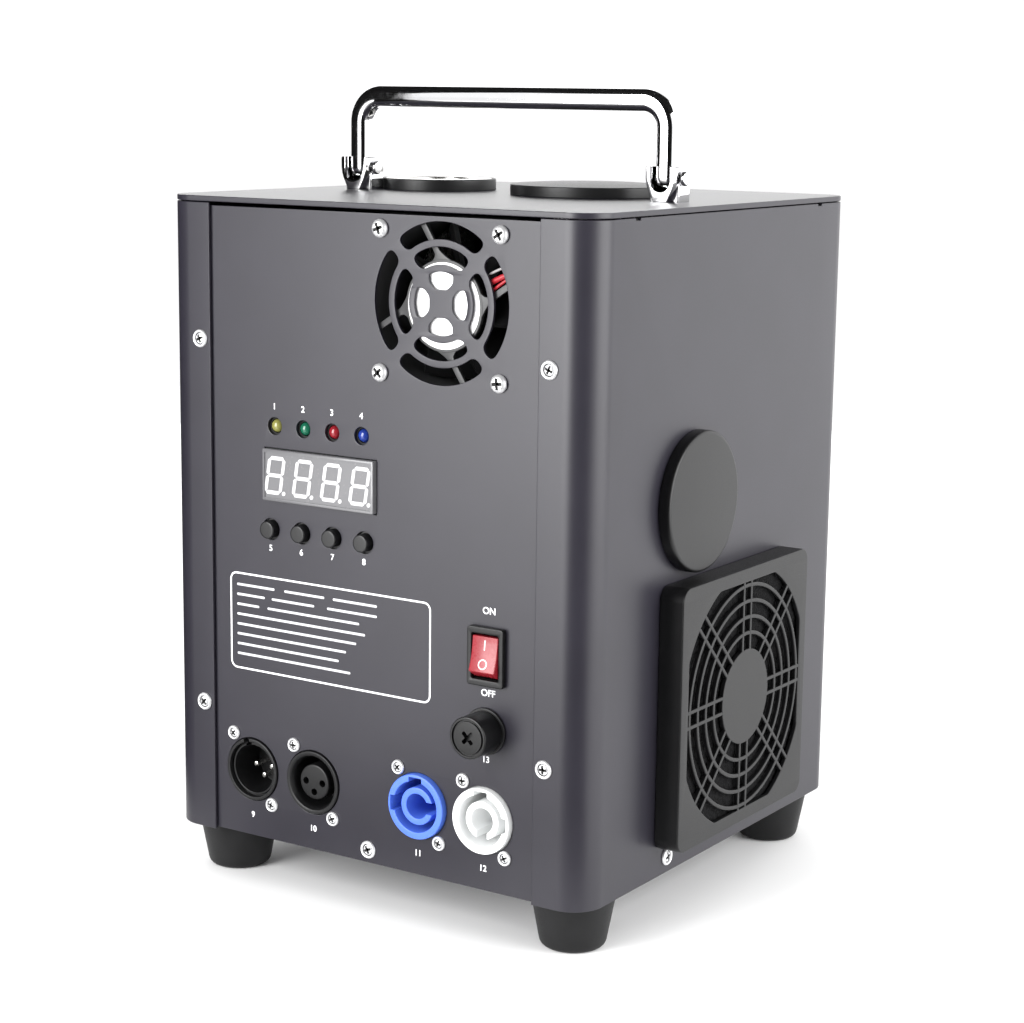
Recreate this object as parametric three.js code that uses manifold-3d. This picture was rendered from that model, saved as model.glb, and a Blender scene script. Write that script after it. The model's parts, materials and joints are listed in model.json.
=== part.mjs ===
import * as THREE from 'three';
import { mergeVertices } from 'three/addons/utils/BufferGeometryUtils.js';
import Module from 'manifold-3d';

// Cold spark machine in millimetres, +Z up. The control panel faces -Y, the filtered fan faces +X.
// Plan places are measured from the middle of the case, heights from the floor.

// Case
const caseWidth = 186;
const caseDepth = 191;
const coverHeight = 237;
const plateThickness = 2;
const cornerRadius = 12;
const sheet = 1.2;
const flangeWidth = 21.5;
const panelRecess = 1.5;
const panelTopGap = 1.4;
const panelFootGap = 0.6;
const trayWall = 9.4;
const notchWidth = 3;
const notchDepth = 1.2;
const notchInset = 27.1;

// Clearances, cutting overrun and roundness
const seatGap = 0.3;
const overrun = 5;
const mergeTolerance = 0.0001;
const fullTurn = Math.PI * 2;
const halfTurn = Math.PI;
const quarterTurn = Math.PI / 2;
const fineSteps = 32;
const roundSteps = 24;
const coarseSteps = 16;
const smallSteps = 8;
const cornerSteps = 3;

// Feet
const footHeight = 19;
const footTopRadius = 15.2;
const footBaseRadius = 11.6;
const footEdgeRadius = 2.6;
const footScrewRadius = 2.3;
const footRecessRadius = 5;
const footRecessDepth = 11;
const footInsetX = 16.5;
const footInsetRear = 20;
const footInsetFront = 21.5;

// Screws
const coverScrewRadius = 1.5;
const coverScrewInset = 16.9;
const coverScrewFoot = 49.6;
const coverScrewHead = 52;
const trayScrewHeight = 5.6;
const sideScrewInset = 9.45;
const sideScrewHeight = 6.2;
const panHeadRadius = 3.15;
const panHeadHeight = 1.9;
const crossLength = 3.6;
const crossWidth = 0.9;
const crossDepth = 1.1;
const fanScrewRadius = 1.5;
const fanScrewLength = 12;

// Folding handle
const handleHalf = 4;
const handleCorner = 3;
const handleInset = 24.2;
const handleRise = 27.6;
const handleBend = 10;
const handlePlace = -7;
const handleBendSteps = 5;
const bracketWidth = 12;
const bracketDepth = 11.6;
const bracketHeight = 12.6;
const bracketFloor = 3.4;
const bracketBack = 1.6;
const bracketSkirt = 3.2;
const pinHeight = 8.4;
const pinRadius = 1.5;
const pinHeadRadius = 2.6;
const pinHeadLength = 1.6;

// Spark outlet in the top plate
const outletInset = 43;
const topFittingY = 18.5;
const outletRadius = 22.7;
const outletHeight = 4.3;
const outletLip = 1.4;
const outletFaceThickness = 0.8;
const sparkBoreRadius = 12.5;
const sparkTubeWall = 1.5;

// Hopper and its lid
const hopperX = 21.4;
const lidRadius = 31.25;
const lidHeight = 5.1;
const lidCrown = 1.1;
const lidEdge = 0.8;
const lidPlugDepth = 7;
const hopperNeckRadius = 25.6;
const hopperWall = 1.2;
const hopperFlangeRadius = 31;
const hopperConeShare = 0.407;
const spoutLength = 4.4;
const spoutRadius = 6.2;

// Granule feed
const feedClearance = 4.2;
const feedBlockWidth = 24;
const feedBlockRight = 34;
const augerRadius = 5.6;
const augerBladeThickness = 2.2;
const augerCoreRadius = 2;
const augerTurns = 4;
const augerStepsPerTurn = 12;
const augerBoreGap = 0.5;
const bushLength = 6;
const motorShaftRadius = 2;
const motorShaftLength = 8;
const gearboxRadius = 12.4;
const gearboxLength = 24;
const motorRadius = 11.8;
const motorClearance = 3.5;

// Heating chamber
const chamberHeight = 113;
const chamberFlangeRadius = 19;
const chamberFlange = 3;
const heaterWall = 5.6;
const heaterLength = 56;
const heaterFoot = 5;
const jacketWall = 7;
const jacketRim = 2;
const shelfHeight = 101;
const shelfReach = 39;
const shelfFront = -11;
const shelfBack = 48;
const shelfToe = 10;

// Blower under the chamber
const blowerRadius = 34;
const blowerThickness = 30;
const blowerWall = 1.6;
const blowerOutletWidth = 34;
const blowerInletRadius = 21;
const blowerFootWidth = 36;
const blowerFootHeight = 6;
const impellerRadius = 27;
const impellerDepth = 20;
const impellerDisc = 1.6;
const impellerHubRadius = 9;
const impellerVanes = 10;
const vaneLength = 6;
const vaneThickness = 1;

// Fans: the rear one blows out through the panel, the side one draws in through the filter
const rearFanInset = 41.3;
const rearFanBelowTop = 33.4;
const rearFanSize = 60;
const rearFanWall = 1.4;
const rearFanHoleInset = 5;
const rearFanHub = 14.5;
const rearFanHole = 2.1;
const rearFanStrut = 3.2;
const rearFanStrutOffset = 10.2;
const rearFanStrutTurn = 0.105;
const rearFanSink = 2;
const sideFanWall = 2;
const sideFanHoleInset = 4.75;
const sideFanHub = 17.5;
const sideFanHole = 2.2;
const sideFanStrut = 5;
const fanDepth = 25;
const fanStruts = 4;
const fanBlades = 7;
const fanCorner = 4;
const fanStrutRoot = 1.5;
const hubPlate = 2.4;
const bladeGap = 1;
const bladeThickness = 1.6;
const bladePitch = 0.7;
const bladeChordShare = 1.1;
const fanShaftRadius = 1.6;

// Pressed vent in front of the rear fan, as radii from its centre
const ventBands = [[22, 28], [13.5, 19.4]];
const ventHubBand = [4.5, 10.9];
const ventBridge = 4.2;
const ventHubOpening = 9.6;

// Fan guard, filter and blanking plug on the +X side
const guardSize = 96.7;
const guardLap = 2.35;
const guardFootGap = 10.65;
const guardDepth = 10;
const guardCorner = 5;
const guardWall = 1.8;
const guardFace = 1.8;
const guardFrameThickness = 3;
const grilleHubRadius = 17.8;
const grilleRim = 5.25;
const grilleRoundShare = 1.114;
const grilleRings = 4;
const grilleRingLand = 1.3;
const grilleRingWidth = 1.5;
const grilleSpokes = 8;
const grilleSpokeWidth = 1.4;
const grilleSpokeGap = 4.2;
const plugPlace = -25.5;
const plugClearance = 2.15;
const plugRadius = 25.5;
const plugThickness = 4.4;
const plugEdge = 1.2;
const portRadius = 22;
const plugStemDepth = 7;
const plugWall = 2.5;

// Four-digit display, indicators and buttons on their board
const displayInset = 49.5;
const displayBelowIndicators = 17.8;
const displayWidth = 50.3;
const displayTall = 19;
const displayProud = 1.8;
const indicatorInset = 28.9;
const indicatorPitch = 13.1;
const indicatorsBelowFan = 48.3;
const indicatorRadius = 2.5;
const indicatorHoleRadius = 2.9;
const indicatorProud = 0.7;
const buttonInset = 26.8;
const buttonPitch = 14.2;
const buttonsBelowDisplay = 20.4;
const buttonRadius = 3.25;
const buttonHoleRadius = 4;
const buttonProud = 2.7;
const buttonCollarRadius = 4.6;
const buttonCollar = 1;
const buttonBack = 5;
const buttonTravelGap = 0.95;
const keyBase = 6;
const boardBack = 8.3;
const boardThickness = 1.6;
const boardMargin = 12;
const postRadius = 3;
const postInset = 4;
const chipSize = 14;
const chipThickness = 2.5;
const plugBlockLength = 20;
const plugBlockWidth = 8;
const plugBlockHeight = 9;

// Power switch and fuse
const switchInset = 19.9;
const switchAboveFuse = 26.8;
const bezelWidth = 15;
const bezelTall = 21;
const bezelThickness = 2;
const switchBodyWidth = 13.2;
const switchBodyTall = 19.2;
const switchBodyDepth = 22;
const rockerWidth = 10.6;
const rockerTall = 15;
const rockerOpeningWidth = 11.2;
const rockerOpeningTall = 16.2;
const rockerEnd = 2.8;
const rockerMiddle = 1.4;
const rockerRoot = 4.6;
const rockerRootLead = 0.7;
const rockerCavity = 7;
const rockerTilt = 0.2;
const rockerPinRadius = 1.1;
const rockerPinReach = 1.6;
const terminalWidth = 6.3;
const terminalThickness = 0.8;
const terminalLength = 8;
const fuseInset = 20.4;
const fuseAboveConnectors = 32.5;
const fuseCollarRadius = 8.4;
const fuseCollar = 1;
const fuseBarrelRadius = 6.4;
const fuseBoreRadius = 4.7;
const fuseBarrelDepth = 32;
const fuseCapRadius = 7.5;
const fuseCapProud = 11.6;
const fuseCapEdge = 0.6;
const fuseStemRadius = 4.3;
const fuseStemLength = 6;
const fuseSlotLength = 5.6;
const fuseSlotWidth = 1.1;
const fuseSlotDepth = 1.4;
const fuseLinkRadius = 2.6;
const fuseLinkLength = 20;
const fuseGrip = 4;

// Round panel connectors
const connectorLift = 1.4;
const signalInShare = 0.758;
const powerOutShare = 0.7035;
const signalPitch = 28.7;
const powerPitch = 28.1;
const connectorHoleRadius = 12.2;
const connectorFlangeWidth = 24.8;
const connectorFlangeTall = 31;
const connectorFlange = 1.8;
const connectorScrewX = 9.5;
const connectorScrewY = 12;
const signalRadius = 11.9;
const signalProud = 0.8;
const signalDepth = 24;
const signalBore = 9.6;
const signalCavity = 15;
const contactCircle = 3.8;
const contactRadius = 1.15;
const contactTip = 6.2;
const contactHoleRadius = 1.4;
const insertRadius = 6.65;
const keyWidth = 3;
const keyDepth = 1.4;
const powerRadius = 11.9;
const powerProud = 2.2;
const powerDepth = 28;
const powerBore = 9.4;
const powerCavity = 19;
const powerCoreRadius = 6.9;
const powerCoreBore = 4.9;
const powerCoreSink = 1.2;
const powerCoreSlot = 4;
const powerKeyWidth = 7;
const powerKeyDepth = 1.6;

// Power supply board on the tray
const supplyClearance = 2;
const supplyInset = 33;
const supplyRear = -48;
const supplyFront = 62;
const supplyLift = 6.5;
const transformerShare = 0.577;
const transformerHeight = 26;
const capacitorShare = 0.154;
const capacitorHeight = 26;
const capacitorCount = 2;
const capacitorPitchShare = 0.365;
const heatsinkLength = 30;
const heatsinkBase = 3;
const heatsinkHeight = 28;
const heatsinkFins = 5;
const finThickness = 1.6;
const finShare = 0.17;
const supplyPartInset = 4;

// Levels and faces that follow from the sizes above
const caseBottom = footHeight;
const trayTop = caseBottom + sheet;
const plateUnder = caseBottom + coverHeight;
const plateTop = plateUnder + plateThickness;
const halfWidth = caseWidth / 2;
const halfDepth = caseDepth / 2;
const panelFace = -halfDepth + panelRecess;
const panelHalfWidth = halfWidth - cornerRadius;
const openHalf = halfWidth - flangeWidth;
const coverScrewX = halfWidth - coverScrewInset;
const coverScrewHeights = [caseBottom + coverScrewFoot, plateTop - coverScrewHead];
const footPlaceX = halfWidth - footInsetX;
const footRearY = footInsetRear - halfDepth;
const footFrontY = halfDepth - footInsetFront;
const notchPlace = halfDepth - notchInset;
const handleSpan = caseWidth - 2 * handleInset;
const rearFanHeight = plateTop - rearFanBelowTop;
const indicatorHeight = rearFanHeight - indicatorsBelowFan;
const displayHeight = indicatorHeight - displayBelowIndicators;
const buttonHeight = displayHeight - buttonsBelowDisplay;
const connectorHeight = caseBottom + trayWall + connectorLift + connectorFlangeTall / 2;
const fuseHeight = connectorHeight + fuseAboveConnectors;
const switchHeight = fuseHeight + switchAboveFuse;
const rearFan = fanSizes(
  rearFanSize, rearFanWall, rearFanHoleInset, rearFanHub, rearFanHole, rearFanStrut,
  rearFanStrutOffset, rearFanStrutTurn, rearFanSink,
);
const sideFan = fanSizes(
  guardSize - 2 * guardLap, sideFanWall, sideFanHoleInset, sideFanHub, sideFanHole, sideFanStrut, 0, 0, 0,
);
const sideFanHeight = caseBottom + guardFootGap + guardSize / 2;
const sideScrewPlace = guardSize / 2 - sideScrewInset;
const grilleHalf = guardSize / 2 - grilleRim;
const grilleRadius = grilleHalf * grilleRoundShare;
const rearFanX = openHalf - rearFanInset;
const displayX = displayInset - openHalf;
const indicatorFirstX = indicatorInset - openHalf;
const buttonFirstX = buttonInset - openHalf;
const switchX = openHalf - switchInset;
const fuseX = openHalf - fuseInset;
const signalInX = -signalInShare * openHalf;
const signalOutX = signalInX + signalPitch;
const powerOutX = powerOutShare * openHalf;
const powerInX = powerOutX - powerPitch;
const plugHeight = sideFanHeight + guardSize / 2 + plugClearance + plugRadius;
const sparkTubeRadius = sparkBoreRadius + sparkTubeWall;
const chamberFoot = shelfHeight + sheet + seatGap;
const chamberTop = chamberFoot + chamberHeight;
const outletX = outletInset - halfWidth;
const feedBlockHalf = feedBlockWidth / 2;
const jacketTop = chamberFoot + chamberFlange + heaterFoot + heaterLength + seatGap + jacketRim;
const feedHeight = jacketTop + feedClearance + feedBlockHalf;
const augerBore = augerRadius + augerBoreGap;
const augerStart = outletX + sparkTubeRadius;
const motorLength = halfWidth - sheet - motorClearance - gearboxLength - seatGap - feedBlockRight;
const blowerX = outletX - blowerOutletWidth / 2 + blowerRadius;
const shelfRight = blowerX + shelfReach;
const supplyLeft = shelfRight + supplyClearance;
const supplyRight = halfWidth - supplyInset;
const supplyWidth = supplyRight - supplyLeft;
const blowerZ = trayTop + seatGap + blowerRadius + sheet;

function fanSizes(size, wall, holeInset, hub, hole, strut, strutOffset, strutTurn, sink) {
  return { size, hub, hole, strut, strutOffset, strutTurn, sink, bore: size / 2 - wall, pitch: size - 2 * holeInset };
}

// Materials
function metal(color, roughness) {
  return new THREE.MeshStandardMaterial({ color, roughness, metalness: 1 });
}

function plain(color, roughness) {
  return new THREE.MeshStandardMaterial({ color, roughness, metalness: 0 });
}

function coatedSteel() {
  return plain(0x3b3b3f, 0.5);
}

function chrome() {
  return metal(0xe6e6e6, 0.08);
}

function zincSteel() {
  return metal(0xb9b9b9, 0.35);
}

function stainlessSteel() {
  return metal(0xc9c6c0, 0.25);
}

function aluminium() {
  return metal(0xa7a9ac, 0.4);
}

function brass() {
  return metal(0xb08d57, 0.35);
}

function blackPlastic() {
  return plain(0x141416, 0.55);
}

function greyPlastic() {
  return plain(0x4c4c50, 0.5);
}

function blackRubber() {
  return plain(0x111112, 0.85);
}

function filterFoam() {
  return plain(0x0b0b0c, 1);
}

function whitePlastic() {
  return plain(0xe7e9ea, 0.4);
}

function bluePlastic() {
  return plain(0x2f57d6, 0.4);
}

function redPlastic() {
  return plain(0xc01822, 0.25);
}

function displayFace() {
  return plain(0xc4c2c6, 0.35);
}

function boardGreen() {
  return plain(0x1d5b35, 0.6);
}

function ceramic() {
  return plain(0xdcd6c8, 0.8);
}

function glassWool() {
  return plain(0xefe9da, 1);
}

function fuseGlass() {
  return plain(0xd7dfe0, 0.1);
}

function lens(color) {
  return plain(color, 0.15);
}

// Solids
const wasm = await Module();
wasm.setup();

function wholeTriangles(index) {
  const kept = [];
  for (let i = 0; i < index.length; i += 3) {
    const [a, b, c] = index.slice(i, i + 3);
    if (a !== b && b !== c && c !== a) kept.push(a, b, c);
  }
  return new Uint32Array(kept);
}

function toSolid(geometry) {
  const bare = new THREE.BufferGeometry();
  bare.setAttribute('position', geometry.getAttribute('position').clone());
  if (geometry.index) bare.setIndex(geometry.index.clone());
  const merged = mergeVertices(bare, mergeTolerance);
  return new wasm.Manifold(new wasm.Mesh({
    numProp: 3,
    vertProperties: merged.getAttribute('position').array,
    triVerts: wholeTriangles(Array.from(merged.index.array)),
  }));
}

function toGeometry(solid) {
  const mesh = solid.asOriginal().simplify(mergeTolerance).getMesh();
  const geometry = new THREE.BufferGeometry();
  geometry.setAttribute('position', new THREE.BufferAttribute(mesh.vertProperties, 3));
  geometry.setIndex(new THREE.BufferAttribute(mesh.triVerts, 1));
  geometry.computeVertexNormals();
  return geometry;
}

function join(first, ...others) {
  return toGeometry(others.reduce((sum, next) => sum.add(toSolid(next)), toSolid(first)));
}

function cut(body, ...tools) {
  return toGeometry(tools.reduce((rest, tool) => rest.subtract(toSolid(tool)), toSolid(body)));
}

function common(first, second) {
  return toGeometry(toSolid(first).intersect(toSolid(second)));
}

// A box between two limits on each axis
function block([x0, x1], [y0, y1], [z0, z1]) {
  const box = new THREE.BoxGeometry(x1 - x0, y1 - y0, z1 - z0);
  return box.translate((x0 + x1) / 2, (y0 + y1) / 2, (z0 + z1) / 2);
}

function around(middle, width) {
  return [middle - width / 2, middle + width / 2];
}

// A round bar along Z, X or Y between two limits
function rodZ(radius, [z0, z1], x = 0, y = 0, steps = roundSteps) {
  const rod = new THREE.CylinderGeometry(radius, radius, z1 - z0, steps);
  return rod.rotateX(quarterTurn).translate(x, y, (z0 + z1) / 2);
}

function rodX(radius, [x0, x1], y = 0, z = 0, steps = roundSteps) {
  const rod = new THREE.CylinderGeometry(radius, radius, x1 - x0, steps);
  return rod.rotateZ(quarterTurn).translate((x0 + x1) / 2, y, z);
}

function rodY(radius, [y0, y1], x = 0, z = 0, steps = roundSteps) {
  const rod = new THREE.CylinderGeometry(radius, radius, y1 - y0, steps);
  return rod.translate(x, (y0 + y1) / 2, z);
}

// A turned body about Z; its profile is listed as [radius, height] upwards on the outside
function turned(profile, steps = roundSteps) {
  const points = profile.map(([radius, height]) => new THREE.Vector2(radius, height));
  return new THREE.LatheGeometry(points, steps).rotateX(quarterTurn);
}

function arcPoints(x, y, radius, from, to, steps) {
  const share = (i) => from + ((to - from) * i) / steps;
  return Array.from({ length: steps + 1 }, (_, i) => (
    [x + radius * Math.cos(share(i)), y + radius * Math.sin(share(i))]
  ));
}

function outline(points) {
  return new THREE.Shape(points.map(([x, y]) => new THREE.Vector2(x, y)));
}

function opening(points) {
  return new THREE.Path(points.map(([x, y]) => new THREE.Vector2(x, y)));
}

function circlePoints(x, y, radius, steps = roundSteps) {
  return arcPoints(x, y, radius, 0, fullTurn, steps).slice(0, steps);
}

function rectPoints(x, y, width, height) {
  const [x0, x1] = around(x, width);
  const [y0, y1] = around(y, height);
  return [[x0, y0], [x1, y0], [x1, y1], [x0, y1]];
}

function roundedRectPoints(width, height, radius) {
  const x = width / 2 - radius;
  const y = height / 2 - radius;
  return [
    ...arcPoints(x, y, radius, 0, quarterTurn, cornerSteps),
    ...arcPoints(-x, y, radius, quarterTurn, halfTurn, cornerSteps),
    ...arcPoints(-x, -y, radius, halfTurn, halfTurn + quarterTurn, cornerSteps),
    ...arcPoints(x, -y, radius, halfTurn + quarterTurn, fullTurn, cornerSteps),
  ];
}

function slab(shape, [z0, z1]) {
  const geometry = new THREE.ExtrudeGeometry(shape, { depth: z1 - z0, bevelEnabled: false });
  return geometry.translate(0, 0, z0);
}

// Scene: the panel and side groups have X along the face, Y up and Z outwards
const machine = new THREE.Group();
const upright = new THREE.Group();
const panelSide = new THREE.Group();
const fanSide = new THREE.Group();
panelSide.position.set(0, panelFace, 0);
panelSide.rotation.x = quarterTurn;
fanSide.position.set(halfWidth, 0, 0);
fanSide.quaternion.setFromRotationMatrix(new THREE.Matrix4().makeBasis(
  new THREE.Vector3(0, 1, 0),
  new THREE.Vector3(0, 0, 1),
  new THREE.Vector3(1, 0, 0),
));
upright.add(panelSide, fanSide);
machine.add(upright);

function piece(parent, name, geometry, material, x = 0, y = 0, z = 0) {
  const mesh = new THREE.Mesh(geometry, material);
  mesh.name = name;
  mesh.position.set(x, y, z);
  parent.add(mesh);
  return mesh;
}

// Case panels
function coverSection() {
  const x = halfWidth - cornerRadius;
  const y = halfDepth - cornerRadius;
  const lip = halfWidth - flangeWidth;
  const bends = (radius) => [
    ...arcPoints(-x, -y, radius, -quarterTurn, -halfTurn, cornerSteps),
    ...arcPoints(-x, y, radius, halfTurn, quarterTurn, cornerSteps),
    ...arcPoints(x, y, radius, quarterTurn, 0, cornerSteps),
    ...arcPoints(x, -y, radius, 0, -quarterTurn, cornerSteps),
  ];
  return outline([
    [-lip, -halfDepth],
    ...bends(cornerRadius),
    [lip, -halfDepth],
    [lip, -halfDepth + sheet],
    ...bends(cornerRadius - sheet).reverse(),
    [-lip, -halfDepth + sheet],
  ]);
}

function coverWrap() {
  const through = [-halfDepth - overrun, -halfDepth + overrun];
  const side = [halfWidth - overrun, halfWidth + overrun];
  const flangeHoles = coverScrewHeights.flatMap((height) => [
    rodY(coverScrewRadius + seatGap, through, -coverScrewX, height, smallSteps),
    rodY(coverScrewRadius + seatGap, through, coverScrewX, height, smallSteps),
  ]);
  const notches = [-notchPlace, notchPlace].map((y) => block(
    [-halfWidth - overrun, halfWidth + overrun],
    around(y, notchWidth),
    [plateUnder - notchDepth, plateUnder + overrun],
  ));
  return cut(
    slab(coverSection(), [caseBottom, plateUnder]),
    rodX(sideFan.bore, side, 0, sideFanHeight),
    rodX(portRadius, side, plugPlace, plugHeight),
    rodX(coverScrewRadius + seatGap, side, -sideScrewPlace, caseBottom + sideScrewHeight, smallSteps),
    ...flangeHoles,
    ...notches,
  );
}

function topPlate() {
  const shape = outline(roundedRectPoints(caseWidth, caseDepth, cornerRadius));
  shape.holes.push(
    opening(circlePoints(outletX, topFittingY, sparkTubeRadius + seatGap)),
    opening(circlePoints(hopperX, topFittingY, hopperNeckRadius + hopperWall + seatGap)),
  );
  return slab(shape, [plateUnder, plateTop]);
}

function baseTray() {
  const width = caseWidth - 2 * (sheet + seatGap);
  const rear = panelFace + sheet + seatGap;
  const front = halfDepth - sheet - seatGap;
  const middle = (rear + front) / 2;
  const corner = cornerRadius - sheet - seatGap;
  const tray = slab(outline(roundedRectPoints(width, front - rear, corner)), [caseBottom, caseBottom + trayWall]);
  const hollow = slab(
    outline(roundedRectPoints(width - 2 * sheet, front - rear - 2 * sheet, corner - sheet)),
    [trayTop, caseBottom + trayWall + overrun],
  );
  const footHoles = footPlaces().map(([, x, y]) => (
    rodZ(footScrewRadius, [caseBottom - overrun, trayTop + overrun], x, y, smallSteps)
  ));
  const shell = cut(tray.translate(0, middle, 0), hollow.translate(0, middle, 0));
  return cut(
    shell,
    ...footHoles,
    rodY(coverScrewRadius, [rear - overrun, rear + overrun], 0, caseBottom + trayScrewHeight, smallSteps),
  );
}

function footPlaces() {
  return [
    ['foot_rear_left', -footPlaceX, footRearY],
    ['foot_rear_right', footPlaceX, footRearY],
    ['foot_front_left', -footPlaceX, footFrontY],
    ['foot_front_right', footPlaceX, footFrontY],
  ];
}

function foot() {
  const edge = arcPoints(
    footBaseRadius - footEdgeRadius, footEdgeRadius, footEdgeRadius, -quarterTurn, 0, cornerSteps,
  );
  return turned([
    [footRecessRadius, 0],
    ...edge,
    [footTopRadius, footHeight],
    [footScrewRadius, footHeight],
    [footScrewRadius, footRecessDepth],
    [footRecessRadius, footRecessDepth],
    [footRecessRadius, 0],
  ], coarseSteps);
}

// Control panel sheet with every cut-out
function ventSlots([inner, outer], count) {
  return Array.from({ length: count }, (_, i) => {
    const middle = (i * fullTurn) / count;
    const half = (radius) => halfTurn / count - ventBridge / 2 / radius;
    return [
      ...arcPoints(0, 0, outer, middle - half(outer), middle + half(outer), cornerSteps),
      ...arcPoints(0, 0, inner, middle + half(inner), middle - half(inner), cornerSteps),
    ];
  });
}

function ventHubSlots() {
  const [inner, outer] = ventHubBand;
  const half = ventHubOpening / 2;
  return Array.from({ length: 4 }, (_, i) => {
    const turn = i * quarterTurn;
    const reach = Math.asin(half / outer);
    const points = [
      ...arcPoints(0, 0, outer, -reach, reach, cornerSteps),
      [inner + half / 2, half],
      [inner, half / 2],
      [inner, -half / 2],
      [inner + half / 2, -half],
    ];
    return points.map(([x, y]) => [
      x * Math.cos(turn) - y * Math.sin(turn),
      x * Math.sin(turn) + y * Math.cos(turn),
    ]);
  });
}

function moved(points, x, y) {
  return points.map(([px, py]) => [px + x, py + y]);
}

function fourTimes(first, pitch) {
  return Array.from({ length: 4 }, (_, i) => first + i * pitch);
}

function connectorPlaces() {
  return [signalInX, signalOutX, powerInX, powerOutX];
}

function panelCutouts() {
  const vents = [...ventBands.flatMap((band) => ventSlots(band, 4)), ...ventHubSlots()];
  const fanHoles = fanCorners(rearFan).map(([x, y]) => circlePoints(x, y, fanScrewRadius + seatGap, smallSteps));
  const coverHoles = coverScrewHeights.flatMap((height) => [
    circlePoints(-coverScrewX, height, coverScrewRadius, smallSteps),
    circlePoints(coverScrewX, height, coverScrewRadius, smallSteps),
  ]);
  const connectorHoles = connectorPlaces().flatMap((x) => [
    circlePoints(x, connectorHeight, connectorHoleRadius),
    circlePoints(x - connectorScrewX, connectorHeight + connectorScrewY, coverScrewRadius, smallSteps),
    circlePoints(x + connectorScrewX, connectorHeight - connectorScrewY, coverScrewRadius, smallSteps),
  ]);
  return [
    ...[...vents, ...fanHoles].map((points) => moved(points, rearFanX, rearFanHeight)),
    ...coverHoles,
    ...connectorHoles,
    ...fourTimes(indicatorFirstX, indicatorPitch)
      .map((x) => circlePoints(x, indicatorHeight, indicatorHoleRadius, smallSteps)),
    ...fourTimes(buttonFirstX, buttonPitch)
      .map((x) => circlePoints(x, buttonHeight, buttonHoleRadius, coarseSteps)),
    rectPoints(displayX, displayHeight, displayWidth + 2 * seatGap, displayTall + 2 * seatGap),
    rectPoints(switchX, switchHeight, switchBodyWidth + 2 * seatGap, switchBodyTall + 2 * seatGap),
    circlePoints(fuseX, fuseHeight, fuseBarrelRadius + seatGap),
    circlePoints(0, caseBottom + trayScrewHeight, coverScrewRadius + seatGap, smallSteps),
  ];
}

function boardLimits() {
  return {
    left: buttonFirstX - boardMargin,
    right: displayX + displayWidth / 2 + boardMargin,
    low: buttonHeight - boardMargin,
    high: indicatorHeight + boardMargin,
  };
}

function boardPosts() {
  const { left, right, low, high } = boardLimits();
  return [left + postInset, right - postInset].flatMap((x) => (
    [low + postInset, high - postInset].map((y) => [x, y])
  ));
}

function rearPanel() {
  const low = caseBottom + panelFootGap;
  const high = plateUnder - panelTopGap;
  const shape = outline(rectPoints(0, (low + high) / 2, 2 * panelHalfWidth, high - low));
  shape.holes.push(...panelCutouts().map(opening));
  return slab(shape, [-sheet, 0]);
}

// Pan-head screw with a cross recess; the head stands out from the face
function panScrew(shankRadius, length) {
  const head = turned([
    [0, -length],
    [shankRadius, -length],
    [shankRadius, seatGap],
    [panHeadRadius, seatGap],
    [panHeadRadius, seatGap + panHeadHeight / 2],
    [panHeadRadius - panHeadHeight / 2, seatGap + panHeadHeight],
    [0, seatGap + panHeadHeight],
  ], smallSteps);
  const top = seatGap + panHeadHeight;
  const slot = [top - crossDepth, top + overrun];
  return cut(
    head,
    block(around(0, crossLength), around(0, crossWidth), slot),
    block(around(0, crossWidth), around(0, crossLength), slot),
  );
}

// Axial fan: the frame's hub plate carries the rotor's shaft; Z points out of the machine
function fanCorners(fan) {
  const half = fan.pitch / 2;
  return [[-half, -half], [half, -half], [-half, half], [half, half]];
}

function fanFrame(fan, hubOut) {
  const depth = [-fanDepth, 0];
  const shape = outline(roundedRectPoints(fan.size, fan.size, fanCorner));
  shape.holes.push(opening(circlePoints(0, 0, fan.bore)));
  shape.holes.push(...fanCorners(fan).map(([x, y]) => opening(circlePoints(x, y, fan.hole, smallSteps))));
  const plate = hubOut ? [-hubPlate - fan.sink, -fan.sink] : [-fanDepth, hubPlate - fanDepth];
  const strutStart = Math.sqrt(fan.hub ** 2 - fan.strutOffset ** 2) / 2;
  const strutEnd = Math.sqrt((fan.bore + fanStrutRoot) ** 2 - fan.strutOffset ** 2);
  const struts = Array.from({ length: fanStruts }, (_, i) => (
    block([strutStart, strutEnd], around(-fan.strutOffset, fan.strut), plate)
      .rotateZ(quarterTurn / 2 - fan.strutTurn + (i * fullTurn) / fanStruts)
  ));
  const hub = cut(
    rodZ(fan.hub, plate),
    rodZ(fanShaftRadius + seatGap, [-fanDepth - overrun, overrun], 0, 0, smallSteps),
  );
  return join(slab(shape, depth), hub, ...struts);
}

function fanRotor(fan, hubOut) {
  const gap = hubPlate + fan.sink + bladeGap;
  const [low, high] = hubOut ? [bladeGap - fanDepth, -gap] : [gap - fanDepth, -bladeGap];
  const reach = fan.bore - bladeGap;
  const middle = (low + high) / 2;
  const chord = (high - low) * bladeChordShare;
  const blades = Array.from({ length: fanBlades }, (_, i) => (
    block([fan.hub / 2, reach + overrun], around(0, bladeThickness), around(0, chord))
      .rotateX(bladePitch)
      .translate(0, 0, middle)
      .rotateZ((i * fullTurn) / fanBlades)
  ));
  const swept = common(join(rodZ(fan.hub - bladeGap, [low, high]), ...blades), rodZ(reach, [low, high]));
  const shaft = hubOut ? [middle, -fan.sink - seatGap] : [seatGap - fanDepth, middle];
  return join(swept, rodZ(fanShaftRadius, shaft, 0, 0, smallSteps));
}

// Filtered guard over the side fan
function spokeAngles() {
  return Array.from({ length: grilleSpokes }, (_, i) => (i * fullTurn) / grilleSpokes);
}

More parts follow.
